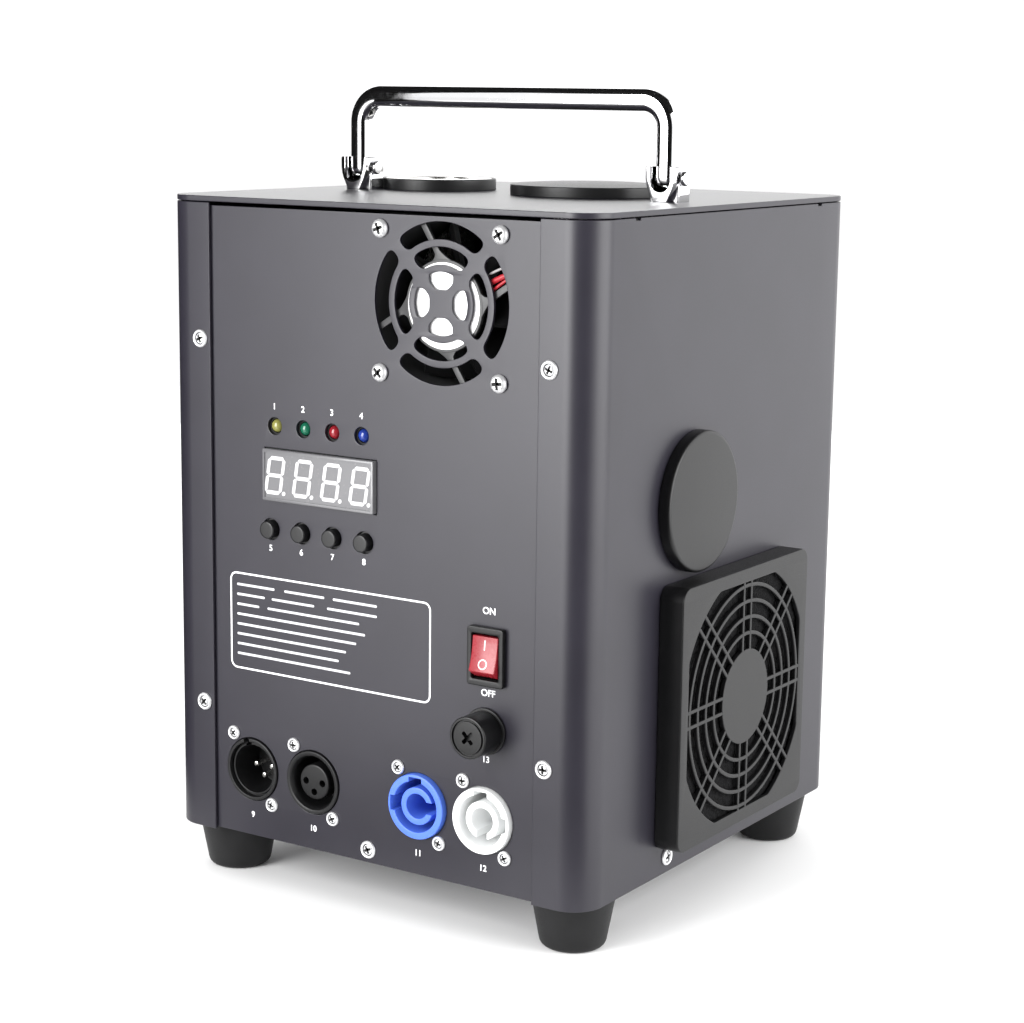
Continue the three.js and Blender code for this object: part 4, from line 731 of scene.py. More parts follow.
class SPARK_OT_cover(Operator):
    """Folded cover: a C-shaped section with round folds, carried up and cut for fan, plug and notches."""

    bl_idname = "spark.cover"
    bl_label = "Cover"

    def execute(self, context):
        sizes = context.scene.spark_case
        low, high = node_box("cover_wrap")
        middle = (low + high) / 2
        section = cover_section(low, high, sizes)
        band = slab("cover", section, low[2], high[2] - sizes.seam)
        fan_y, fan_z = on_side("side_fan_frame")
        plug_y, plug_z = on_side("port_plug")
        rotor_low, rotor_high = node_box("side_fan_rotor")
        fan_bore, plug_bore, reach = (rotor_high[2] - rotor_low[2]) / 2 + 1 * MM, 22 * MM, 6 * MM
        across = face_matrix((0, 1, 0), (0, 0, 1), (1, 0, 0), (0, 0, 0))
        tools = []
        for y, z, radius in ((fan_y, fan_z, fan_bore), (plug_y, plug_z, plug_bore)):
            tool = slab("bore", circle(y, z, radius), high[0] - reach, high[0] + reach)
            tool.transform(across)
            tools.append(tool)
        for side in (-1, 1):
            place = middle[1] + side * sizes.notch_place
            notch = rectangle(middle[0], place, (high[0] - low[0]) * 1.2, sizes.notch_width)
            tools.append(slab("notch", notch, high[2] - sizes.notch_depth, high[2] + sizes.notch_depth))
        add_piece("cover", cut(band, *tools), UPRIGHT, "case_coat", node="cover_wrap", bevel=sizes.fold * 0.8)
        return {"FINISHED"}


def cover_section(low, high, sizes):
    """The cover's C from above: quarter circles at four folds, outside and a sheet's thickness inside."""
    r, t = sizes.corner, sizes.sheet
    x0, x1, y0, y1 = low[0], high[0], low[1], high[1]
    lip = sizes.flange
    quarter = math.pi / 2

    def folds(radius):
        return np.concatenate([
            arc(x0 + r, y0 + r, radius, -quarter, -2 * quarter, 16),
            arc(x0 + r, y1 - r, radius, 2 * quarter, quarter, 16),
            arc(x1 - r, y1 - r, radius, quarter, 0, 16),
            arc(x1 - r, y0 + r, radius, 0, -quarter, 16),
        ])

    outer = np.concatenate([[[x0 + lip, y0]], folds(r), [[x1 - lip, y0]]])
    inner = np.concatenate([[[x1 - lip, y0 + t]], folds(r - t)[::-1], [[x0 + lip, y0 + t]]])
    return np.concatenate([outer, inner])


class SPARK_OT_top(Operator):
    """Top plate: a rounded rectangle with softened edges and its two round openings."""

    bl_idname = "spark.top"
    bl_label = "Top plate"

    def execute(self, context):
        sizes = context.scene.spark_case
        low, high = node_box("top_plate")
        middle, span = (low + high) / 2, high - low
        holes = []
        tube_opening, hopper_opening = 14.3 * MM, 27.1 * MM
        for node, radius in (("spark_tube", tube_opening), ("hopper_funnel", hopper_opening)):
            centre = sum(node_box(node)) / 2
            holes.append(circle(centre[0], centre[1], radius, 96))
        outline = rounded_rectangle(middle[0], middle[1], span[0], span[1], sizes.corner, 20)
        plate = sheet_part("top", outline, holes, low[2], high[2], sizes.fold)
        add_piece("top", plate, UPRIGHT, "case_coat", node="top_plate", even=True)
        return {"FINISHED"}


class SPARK_OT_feet(Operator):
    """Four tapered feet: one turned profile with a round lower edge and a screw recess under each."""

    bl_idname = "spark.feet"
    bl_label = "Feet"

    def execute(self, context):
        sizes = context.scene.spark_case
        for node in ("foot_rear_left", "foot_rear_right", "foot_front_left", "foot_front_right"):
            low, high = node_box(node)
            middle = (low + high) / 2
            top = (high[0] - low[0]) / 2
            height = high[2] - low[2]
            bore, recess, recess_top, recess_mouth = 2.3 * MM, 11 * MM, 5 * MM, 5.4 * MM
            profile = [
                (bore, height), (top, height), (sizes.foot_base, 0),
                (recess_mouth, 0), (recess_top, recess), (bore, recess),
            ]
            reach = np.array([0.0, 0.4 * MM, sizes.foot_edge, 0.6 * MM, 0.2 * MM, 0.0])
            body = turned(node, eased(profile, reach), middle[0], middle[1], 72, closed=True)
            add_piece(
                node.replace("foot", "rubber_foot"), body, Matrix.Translation((0, 0, low[2])), "foot_rubber",
                node=node,
            )
        return {"FINISHED"}


class SPARK_OT_handle(Operator):
    """Chrome handle, its two brackets and pins."""

    bl_idname = "spark.handle"
    bl_label = "Handle"

    def execute(self, context):
        sizes = context.scene.spark_handle
        low, high = node_box("handle_bar")
        pin_low, pin_high = node_box("handle_pin_left")
        pivot_y = (low[1] + high[1]) / 2
        pivot_z = (pin_low[2] + pin_high[2]) / 2
        ends = [sum(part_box(f"handle_bracket_{side}")[i].x for i in (0, 1)) / 2 for side in ("left", "right")]
        self.bar(sizes, ends, pivot_y, pivot_z, high[2] - sizes.rod)
        for side, x in zip(("left", "right"), ends):
            self.bracket(sizes, side, x)
            self.pin(sizes, side, x, pivot_y, pivot_z)
        return {"FINISHED"}

    def bar(self, sizes, ends, y, low, high):
        """A rounded square carried up, round two quarter bends and down, its ends closing as a cosine."""
        r, bend = sizes.rod, sizes.bend
        quarter = math.pi / 2
        turn = np.linspace(quarter * 0.97, 0, 12)
        tip = np.stack([np.full(12, ends[0]), low - r * np.sin(turn)], -1)
        flat = np.concatenate([
            tip, [[ends[0], low + 2 * MM], [ends[0], high - bend - 1 * MM]],
            arc(ends[0] + bend, high - bend, bend, 2 * quarter, quarter, 24),
            arc(ends[1] - bend, high - bend, bend, quarter, 0, 24),
            [[ends[1], high - bend - 1 * MM], [ends[1], low + 2 * MM]], tip[::-1] + [ends[1] - ends[0], 0],
        ])
        path = np.stack([flat[:, 0], np.full(len(flat), y), flat[:, 1]], -1)
        scale = np.ones(len(path))
        scale[:12], scale[-12:] = np.cos(turn), np.cos(turn[::-1])
        section = rounded_rectangle(0, 0, 2 * r, 2 * r, sizes.rod_corner, 10)
        rod = swept("handle", path, section, (0, 1, 0), scale)
        hole = slab("pin hole", circle(0, 0, sizes.pin + 0.3 * MM, 32), -0.1, 0.1)
        spun(hole, quarter, "Y")
        add_piece(
            "handle", cut(rod, moved(hole, 0, y, low)), UPRIGHT, "handle_chrome", body="handle",
            node="handle_bar",
        )

    def bracket(self, sizes, side, x):
        """A block narrowed at its foot in front, with a round-bottomed opening for the rod."""
        low, high = node_box(f"handle_bracket_{side}")
        y0, y1, z0, z1 = low[1], high[1], low[2], high[2]
        half, foot, knee = sizes.bracket_width / 2, sizes.bracket_foot / 2, z0 + 6.4 * MM
        front = np.array([
            [x - foot, z0], [x + foot, z0], [x + half, knee],
            [x + half, z1], [x - half, z1], [x - half, knee],
        ])
        front = eased(front, np.array([0.3, 0.3, 3.0, 0.8, 0.8, 3.0]) * MM)
        upright = face_matrix((1, 0, 0), (0, 0, 1), (0, -1, 0), (0, 0, 0))
        web = slab("web", front, -y1, -y0, 0.3 * MM)
        web.transform(upright)
        base = slab(
            "base", rounded_rectangle(x, (y0 + y1) / 2 + 1.6 * MM, 2 * half, y1 - y0 - 3.2 * MM, 0.6 * MM),
            z0, z0 + 6.5 * MM, 0.1 * MM,
        )
        slot = sizes.rod + 0.3 * MM
        well = z0 + 3.4 * MM + slot
        shape = np.concatenate(
            [arc(x, well, slot, math.pi, math.tau, 32), [[x + slot, z1 + 2 * MM], [x - slot, z1 + 2 * MM]]]
        )
        opening = slab("opening", shape, -(y1 - sizes.bracket_back), -(y0 - 2 * MM))
        opening.transform(upright)
        body = cut(shaped(web, "UNION", base), opening)
        add_piece(
            f"bracket_{side}", body, UPRIGHT, "handle_chrome", node=f"handle_bracket_{side}", bevel=0.22 * MM,
        )

    def pin(self, sizes, side, x, y, z):
        """A turned pin with a domed head at each end."""
        low, high = node_box(f"handle_pin_{side}")
        half = (high[0] - low[0]) / 2
        r, head = sizes.pin, sizes.pin_head
        seat = half - 1.4 * MM
        profile = np.array([
            (0, -half), (head, -half), (head, -seat), (r, -seat),
            (r, seat), (head, seat), (head, half), (0, half),
        ])
        reach = np.array([0, 0.7, 0.1, 0.05, 0.05, 0.1, 0.7, 0]) * MM
        pin = spun(turned("pin", eased(profile, reach, closed=False), steps=40), math.pi / 2, "Y")
        add_piece(
            f"pin_{side}", moved(pin, x, y, z), UPRIGHT, "zinc_steel",
            body=body_of_node(f"handle_pin_{side}"), node=f"handle_pin_{side}",
        )


class SPARK_OT_outlet(Operator):
    """Spark outlet: black ring, bright plate and bore, all turned about one axis."""

    bl_idname = "spark.outlet"
    bl_label = "Spark outlet"

    def execute(self, context):
        sizes = context.scene.spark_top
        low, high = node_box("outlet_ring")
        x, y = (low[0] + high[0]) / 2, (low[1] + high[1]) / 2
        radius, top = (high[0] - low[0]) / 2, high[2] - low[2]
        tube_radius = sizes.bore + 1.5 * MM
        inner, lip = tube_radius + 0.3 * MM, radius - sizes.outlet_lip
        step = top - 1.1 * MM
        ring = [(inner, 0), (radius, 0), (radius, top), (lip, top), (lip, step), (inner, step)]
        reach = np.array([0.1, 0.2, 0.8, 0.3, 0.1, 0.1]) * MM
        add_piece(
            "outlet_rim", turned("rim", eased(ring, reach), x, y, 128, closed=True), ON_TOP, "black_plastic",
            node="outlet_ring",
        )
        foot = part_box("spark_tube")[0].z - TOP_FACE
        flange, face = lip - 0.3 * MM, top - 0.8 * MM
        tube = [
            (sizes.bore, foot), (tube_radius, foot), (tube_radius, face), (flange, face), (flange, top),
            (sizes.bore, top),
        ]
        reach = np.array([0.2, 0.2, 0.1, 0.1, 0.3, 0.8]) * MM
        add_piece(
            "outlet_tube", turned("tube", eased(tube, reach), x, y, 128, closed=True), ON_TOP, "stainless",
            node="spark_tube",
        )
        return {"FINISHED"}


class SPARK_OT_hopper(Operator):
    """Hopper lid with its low crown, and the spun funnel under it."""

    bl_idname = "spark.hopper"
    bl_label = "Hopper"

    def execute(self, context):
        sizes = context.scene.spark_top
        low, high = node_box("hopper_lid")
        x, y = (low[0] + high[0]) / 2, (low[1] + high[1]) / 2
        radius = (high[0] - low[0]) / 2
        top = high[2] - TOP_FACE
        depth = low[2] - TOP_FACE
        plug = 25.3 * MM
        share = np.linspace(0, 1, 12)[::-1]
        crown = np.stack([share * (radius - sizes.lid_edge), top - sizes.lid_crown * share**2], -1)
        skirt = [
            (0, top / 2), (plug - 2.5 * MM, top / 2), (plug - 2.5 * MM, depth), (plug, depth),
            (plug, 0), (radius, 0), (radius, top - sizes.lid_crown),
        ]
        reach = np.array([0, 0.3, 0.3, 0.5, 0.2, 0.3, sizes.lid_edge / MM]) * MM
        outer = eased(np.concatenate([skirt, crown[:1]]), np.append(reach, 0), closed=False)
        profile = np.concatenate([outer[:-1], crown])
        add_piece(
            "lid", turned("lid", profile, x, y, 160), ON_TOP, "black_plastic", body="lid", node="hopper_lid",
        )
        self.funnel(sizes)
        return {"FINISHED"}

    def funnel(self, sizes):
        """A turned sheet: neck, flange under the top plate, cylinder, cone and spout."""
        low, high = node_box("hopper_funnel")
        x, y = (low[0] + high[0]) / 2, (low[1] + high[1]) / 2
        w = sizes.hopper_wall
        neck, spout = 25.6 * MM, 6.2 * MM
        foot, top = low[2] - TOP_FACE, high[2] - TOP_FACE
        under = -2.3 * MM
        spout_top = foot + 4.4 * MM
        cone = spout_top + (under - spout_top) * 0.407
        flange = (high[0] - low[0]) / 2
        profile = [
            (spout, foot), (spout + w, foot), (spout + w, spout_top), (neck + w, cone),
            (neck + w, under - w), (flange, under - w), (flange, under), (neck + w, under),
            (neck + w, top), (neck, top), (neck, cone), (spout, spout_top),
        ]
        reach = np.array([0.3, 0.3, 3, 4, 1, 0.3, 0.3, 0.3, 0.4, 0.4, 4, 3]) * MM
        add_piece(
            "funnel", turned("funnel", eased(profile, reach), x, y, 96, closed=True), ON_TOP, "stainless",
            node="hopper_funnel",
        )


def vent_slot(inner, outer, middle, bridge, corner):
    """A slot between two arcs, its ends parallel to the bridges and its corners rounded."""
    half_outer = math.pi / 4 - bridge / 2 / outer
    half_inner = math.pi / 4 - bridge / 2 / inner
    far = arc(0, 0, outer, middle - half_outer, middle + half_outer, 28)
    near = arc(0, 0, inner, middle + half_inner, middle - half_inner, 28)
    start = np.array([far[0], far[-1], near[0], near[-1]])
    return soft_ends(far, near, corner, start)


def soft_ends(far, near, corner, start):
    """The two arcs shortened by the corner radius and joined by quadratic curves round their old ends."""
    def shortened(points):
        keep = np.linalg.norm(points - points[0], axis=1) > corner
        keep &= np.linalg.norm(points - points[-1], axis=1) > corner
        return points[keep]

    def turn(corner_point, enter, leave):
        share = np.linspace(0, 1, 9)[:, None]
        return (1 - share) ** 2 * enter + 2 * share * (1 - share) * corner_point + share**2 * leave

    def towards(a, b):
        return a + (b - a) / np.linalg.norm(b - a) * corner

    outer, inner = shortened(far), shortened(near)
    return np.concatenate([
        outer,
        turn(start[1], towards(far[-1], outer[-1]), towards(far[-1], near[0])),
        turn(start[2], towards(near[0], far[-1]), towards(near[0], inner[0])),
        inner,
        turn(start[3], towards(near[-1], inner[-1]), towards(near[-1], far[0])),
        turn(start[0], towards(far[0], near[-1]), towards(far[0], outer[0])),
    ])


def hub_opening(inner, outer, half):
    """One of four openings round the vent's middle: outer arc, straight sides and flat inner edge."""
    reach = math.asin(half / outer)
    edge = arc(0, 0, outer, -reach, reach, 12)
    points = np.concatenate(
        [edge, [[inner + half / 2, half], [inner, half / 2], [inner, -half / 2], [inner + half / 2, -half]]]
    )
    return eased(points, 1.3 * MM, 5)


def cross_arms(cross, width, low, high):
    """Two crossed bars with round ends."""
    return [
        slab("arm", rounded_rectangle(0, 0, a, b, width * 0.3, 3), low, high)
        for a, b in ((cross, width), (width, cross))
    ]


def screw_head(name, radius, height, cross, width, depth):
    """A pan head turned about Z with two crossed slots cut in, and a near black floor for the slots that is
    painted shade.
    """
    profile = [(0, 0), (radius, 0), (radius, height * 0.35), (radius * 0.72, height), (0, height)]
    head = turned(
        name, eased(profile, np.array([0, 0.1 * MM, radius * 0.2, radius * 0.3, 0]), 6, closed=False),
        steps=48,
    )
    floor = joined(
        "floor", *cross_arms(cross - 0.04 * MM, width - 0.04 * MM, height - depth, height - 0.45 * depth),
    )
    return cut(head, *cross_arms(cross, width, height - depth, height + 1 * MM)), floor


class SPARK_OT_panel(Operator):
    """Control panel sheet with its pressed vent and every cut-out."""

    bl_idname = "spark.panel"
    bl_label = "Control panel"

    def execute(self, context):
        sizes = context.scene.spark_panel
        low, high = node_box("rear_panel")
        fan_x, fan_z = on_panel("rear_fan_frame")
        vents = [
            vent_slot(inner * MM, outer * MM, i * math.pi / 2, sizes.vent_bridge, sizes.vent_radius)
            for inner, outer in ((22, 28), (13.4, 19.5)) for i in range(4)
        ]
        vents += [turned_points(hub_opening(4.8 * MM, 11 * MM, 5 * MM), i * math.pi / 2) for i in range(4)]
        holes = [points + np.array([fan_x, fan_z]) + VENT_SHIFT for points in vents]
        holes += [circle(*on_panel(f"fan_screw_{i}"), 1.8 * MM, 24) for i in range(1, 5)]
        holes += [circle(*on_panel(f"indicator_{i}"), 3.2 * MM, 40) for i in range(1, 5)]
        holes += [circle(*on_panel(f"button_{i}"), 4 * MM, 40) for i in range(1, 5)]
        holes += [circle(*on_panel(node), 12.2 * MM, 96) for node in CONNECTORS]
        display_low, display_high = node_box("display_module")
        display = display_high - display_low + 0.6 * MM
        holes.append(rectangle(*on_panel("display_module"), display[0], display[2]))
        holes.append(rectangle(*on_panel("switch_rocker"), 13.8 * MM, 19.8 * MM))
        holes.append(circle(*on_panel("fuse_cap"), 6.7 * MM, 48))
        middle, span = (low + high) / 2, high - low
        outline = rectangle(middle[0], middle[2], span[0], span[2])
        panel = sheet_part("panel", outline, holes, -1.2 * MM, 0, 0.22 * MM)
        add_piece("panel", panel, ON_PANEL, "case_coat", node="rear_panel", even=True)
        return {"FINISHED"}


CONNECTORS = ("signal_in_socket", "signal_out_socket", "power_in_socket", "power_out_socket")
VENT_SHIFT = np.array([0.3, 0.35]) * MM
FLANGE_SCREW_INSET = 17 * MM
FLANGE_SCREW_HEIGHTS = (206 * MM, 68.6 * MM)
BOTTOM_SCREW_HEIGHT = 24.6 * MM
SIDE_SCREW_PLACE = (-33.85 * MM, 25.2 * MM)
CONNECTOR_SCREW_OFFSETS = ((-8.8 * MM, 12.9 * MM), (9.2 * MM, -12.2 * MM))
VENT_SCREW_TURNS = (0.78, 0.1, 0.35, 0.55)


class SPARK_OT_screws(Operator):
    """Every screw in the panel, the cover's flanges and the side: turned heads with cut crosses."""

    bl_idname = "spark.screws"
    bl_label = "Screws"

    def execute(self, context):
        sizes = context.scene.spark_panel
        case_low, case_high = node_box("cover_wrap")
        self.floors = []
        for i in range(1, 5):
            x, z = on_panel(f"fan_screw_{i}")
            turn = VENT_SCREW_TURNS[i - 1]
            head, floor = screw_head("head", 3.2 * MM, 1.9 * MM, 4.1 * MM, 1.25 * MM, 1.2 * MM)
            radius, tip, long, seat = 1.5 * MM, 1.2 * MM, 12 * MM, 0.3 * MM
            top = seat + 0.05 * MM
            profile = [(0, -long), (tip, -long), (radius, 1 * MM - long), (radius, top), (0, top)]
            body = spun(joined("fan_screw", moved(head, z=seat), turned("shank", profile, steps=24)), turn)
            # The slot's near black floor is painted shade.
            self.floors.append(placed(moved(spun(floor, turn), x, z, seat), ON_PANEL))
            add_piece(f"vent_screw_{i}", moved(body, x, z), ON_PANEL, "screw_plate", node=f"fan_screw_{i}")
        flange = PANEL_FACE - float(case_low[1])
        places = [
            (x, z, flange, sizes.flange_screw)
            for x in (case_low[0] + FLANGE_SCREW_INSET, case_high[0] - FLANGE_SCREW_INSET)
            for z in FLANGE_SCREW_HEIGHTS
        ]
        middle = float((case_low[0] + case_high[0]) / 2)
        places.append((middle, BOTTOM_SCREW_HEIGHT, 0.0, sizes.flange_screw))
        for node in CONNECTORS:
            x, z = on_panel(node)
            places += [(x + dx, z + dz, 0.0, sizes.connector_screw) for dx, dz in CONNECTOR_SCREW_OFFSETS]
        for i, (x, z, level, radius) in enumerate(places, 1):
            self.fixing(f"panel_screw_{i}", x, z, level, radius, ON_PANEL, 0.4 * i)
        self.fixing("side_screw", *SIDE_SCREW_PLACE, 0.0, sizes.flange_screw, ON_SIDE, 0.3)
        # The painted shade of every screw, slot floors and rings, as one near black piece.
        add_piece("screw_slots", joined("slots", *self.floors), UPRIGHT, "recess")
        return {"FINISHED"}

    def fixing(self, name, x, y, level, radius, face, angle):
        """A bright rim round a sunk, crossed head, with a near black ring of painted shade low in the gap
        between.
        """
        inner = radius * 0.68
        rim = [(inner, 0), (radius, 0), (radius, 0.55 * MM), (radius * 0.84, 1.1 * MM), (inner, 0.85 * MM)]
        washer = turned("rim", eased(rim, radius * 0.12), steps=56, closed=True)
        head, floor = screw_head("head", radius * 0.6, 0.95 * MM, radius * 0.92, radius * 0.3, 0.8 * MM)
        near, far, low, high = radius * 0.5, radius * 0.75, 0.02 * MM, 0.3 * MM
        # A near black ring low in the gap between rim and head: painted shade.
        ring = eased([(near, low), (far, low), (far, high), (near, high)], 0.02 * MM)
        ditch = turned("ditch", ring, steps=56, closed=True)
        self.floors += [placed(moved(dark, x, y, level), face) for dark in (spun(floor, angle), ditch)]
        add_piece(
            name, moved(spun(joined(name, washer, head), angle), x, y, level), face, "screw_plate",
        )


class SPARK_OT_vent_fan(Operator):
    """Fan behind the vent: square frame, hub plate on four flared struts, silver label and three leads."""

    bl_idname = "spark.vent_fan"
    bl_label = "Vent fan"

    def execute(self, context):
        low, high = node_box("rear_fan_frame")
        x, z = on_panel("rear_fan_frame")
        back, front = depth_on_panel("rear_fan_frame")
        half = (high[0] - low[0]) / 2
        shift = (0.64 * MM, -0.43 * MM)
        offsets = [np.array(on_panel(f"fan_screw_{i}")) - np.array([x, z]) for i in range(1, 5)]
        holes = [circle(0, 0, half - 1.4 * MM, 96)] + [circle(*offset, 2.1 * MM, 24) for offset in offsets]
        outline = rounded_rectangle(0, 0, 2 * half, 2 * half, 3 * MM)
        walls = sheet_part("frame", outline, holes, back, front, 0.2 * MM)
        face = front - 0.05 * MM
        plate = disc("hub", 16 * MM, face - 1.4 * MM, face, 0.1 * MM, 0.4 * MM, *shift)
        struts = []
        for i in range(4):
            strut = slab("strut", self.strut(half), face - 1.5 * MM, face - 0.1 * MM, 0.15 * MM)
            struts.append(moved(spun(strut, i * math.pi / 2), *shift))
        motor_radius, motor_low, motor_high = 14.5 * MM, face - 3.2 * MM, face - 1 * MM
        profile = [(0, motor_low), (motor_radius, motor_low), (motor_radius, motor_high), (0, motor_high)]
        motor = turned("motor", profile, steps=96)
        add_piece(
            "vent_fan_frame", moved(joined("frame", walls, plate, motor, *struts), x, z), ON_PANEL,
            "strut_black", node="rear_fan_frame",
        )
        label = disc("label", 14.9 * MM, face, face + 0.12 * MM, 0.03 * MM, 0.03 * MM, *shift)
        add_piece("vent_fan_label", moved(label, x, z), ON_PANEL, "silver_label")
        self.leads(x, z)
        return {"FINISHED"}

    def strut(self, half):
        """A straight bar whose inner end widens on both sides along quadratic curves to meet the hub."""
        turn = math.radians(32.7)
        out = np.array([-math.sin(turn), math.cos(turn)])
        aside = np.array([math.cos(turn), math.sin(turn)])
        line, width, rim = 7.3 * MM, 1.1 * MM, 15.4 * MM
        share = np.linspace(0, 1, 12)[:, None]

        def at(along, across):
            return out * along + aside * across

        def curve(begin, control, end):
            return (1 - share) ** 2 * begin + 2 * share * (1 - share) * control + share**2 * end

        def on_rim(degrees):
            angle = math.radians(degrees)
            return rim * np.array([math.cos(angle), math.sin(angle)])

        reach = math.sqrt(half**2 - line**2)
        return np.concatenate([
            [at(reach, line - width)],
            curve(at(17.8 * MM, line - width), at(15.1 * MM, line - width), on_rim(120)),
            [0.8 * on_rim(92)],
            curve(on_rim(65), at(15 * MM, line + width), at(17.8 * MM, line + width)),
            [at(reach, line + width)],
        ])

    def leads(self, x, z):
        """Thin leads at the right of the frame: a small circle carried along a line bowed by a sine."""
        share = np.linspace(0, 1, 16)
        for name, slot_name, start, stop, radius, bow in (
            ("lead_grey", "lead_pale", (18.6, 11.4), (26.0, 14.6), 0.45, 0.2),
            ("lead_red", "lead_red", (18.4, 8.2), (27.4, 12.2), 1.0, 0.3),
            ("lead_loop", "lead_red", (19.0, 5.2), (26.6, 10.4), 0.55, 0.6),
        ):
            start, stop = np.array(start), np.array(stop)
            flat = start + (stop - start) * share[:, None]
            path = np.stack([flat[:, 0], flat[:, 1], bow * np.sin(share * math.pi) - 2.9], -1) * MM
            along = (stop - start) / np.linalg.norm(stop - start)
            lead = swept(name, path, circle(0, 0, radius * MM, 20), np.array([-along[1], along[0], 0.0]))
            add_piece(
                name, moved(lead, x, z), ON_PANEL, slot_name,
            )


class SPARK_OT_display(Operator):
    """Four-digit display with unlit slanted segments, and the four indicator lenses."""

    bl_idname = "spark.display"
    bl_label = "Display and indicators"

    def execute(self, context):
        low, high = node_box("display_module")
        x, z = on_panel("display_module")
        back, face = depth_on_panel("display_module")
        width, tall = high[0] - low[0], high[2] - low[2]
        body = slab("display", rounded_rectangle(x, z, width, tall, 0.5 * MM, 4), back, face, 0.3 * MM)
        well = slab(
            "well", rounded_rectangle(x, z, width - 2.2 * MM, tall - 2.2 * MM, 0.3 * MM, 4), face - 0.35 * MM,
            face + 1 * MM,
        )
        add_piece("display", cut(body, well), ON_PANEL, "display_silver", node="display_module")
        bars = [self.digit(x - 0.2 * MM + (i - 1.5) * 12.8 * MM, z, face - 0.36 * MM) for i in range(4)]
        add_piece("display_segments", joined("segments", *bars), ON_PANEL, "segment")
        for i, slot_name in enumerate(("lens_olive", "lens_green", "lens_red", "lens_blue"), 1):
            self.lens(i, slot_name)
        add_piece(
            "lens_collars", joined("collars", *[self.collar(i) for i in range(1, 5)]), ON_PANEL, "recess",
        )
        return {"FINISHED"}

    def collar(self, i):
        """A dark sleeve round the lens behind the panel: a turned rectangle."""
        x, z = on_panel(f"indicator_{i}")
        back = depth_on_panel(f"indicator_{i}")[0]
        inner, outer, front = 2.65 * MM, 4.4 * MM, -1.4 * MM
        return moved(
            turned(
                "collar", eased([(inner, back), (outer, back), (outer, front), (inner, front)], 0.1 * MM),
                steps=48, closed=True,
            ),
            x, z,
        )

    def digit(self, x, z, level):
        """Seven pointed bars and a round point, sheared to the right."""
        tall, wide, thick = 12.7 * MM, 6.7 * MM, 1.4 * MM

        def segment(cx, cy, long, upright):
            inner = long / 2 - 0.17 * MM
            points = np.array([
                [-inner, 0], [-inner + thick / 2, thick / 2], [inner - thick / 2, thick / 2], [inner, 0],
                [inner - thick / 2, -thick / 2], [-inner + thick / 2, -thick / 2],
            ])
            if upright:
                points = points[:, ::-1]
            return points + np.array([cx, cy])

        shapes = [segment(0, side * tall / 2, wide, False) for side in (-1, 0, 1)]
        shapes += [segment(a * wide / 2, b * tall / 4, tall / 2, True) for a in (-1, 1) for b in (-1, 1)]
        shapes.append(circle(wide / 2 + 1.7 * MM, -tall / 2, 0.8 * MM, 20))
        slanted = [
            np.stack([p[:, 0] + p[:, 1] * math.tan(math.radians(9.3)) + x, p[:, 1] + z], -1)
            for p in shapes
        ]
        return joined("digit", *[slab("bar", p, level, level + 0.08 * MM) for p in slanted])

    def lens(self, i, slot_name):
        """A short cylinder under a round dome, level with the panel."""
        x, z = on_panel(f"indicator_{i}")
        radius, sunk = 2.5 * MM, 0.6 * MM
        back, top = depth_on_panel(f"indicator_{i}")
        top -= sunk
        dome = arc(0, top - radius, radius, 0, math.pi / 2, 14)
        profile = np.concatenate([[[0, back], [radius, back]], dome[:-1], [[0, top]]])
        add_piece(
            f"lens_{i}", moved(turned("lens", profile, steps=48), x, z), ON_PANEL, slot_name,
            node=f"indicator_{i}",
        )


class SPARK_OT_buttons(Operator):
    """Four keys: a turned cap with a soft upper edge over a collar."""

    bl_idname = "spark.buttons"
    bl_label = "Buttons"

    def execute(self, context):
        for i in range(1, 5):
            x, z = on_panel(f"button_{i}")
            back, top = depth_on_panel(f"button_{i}")
            r = 3.25 * MM
            profile = [
                (0, back), (r, back), (r, -2.5 * MM), (4.6 * MM, -2.5 * MM), (4.6 * MM, -1.5 * MM),
                (r, -1.5 * MM), (r, top), (0, top - 0.08 * MM),
            ]
            reach = np.array([0, 0.2, 0.1, 0.1, 0.2, 0.1, 0.7, 0]) * MM
            cap = moved(turned("key", eased(profile, reach, closed=False), steps=64), x, z)
            add_piece(f"key_{i}_cap", cap, ON_PANEL, "button_grey", body=f"key_{i}", node=f"button_{i}")
        return {"FINISHED"}


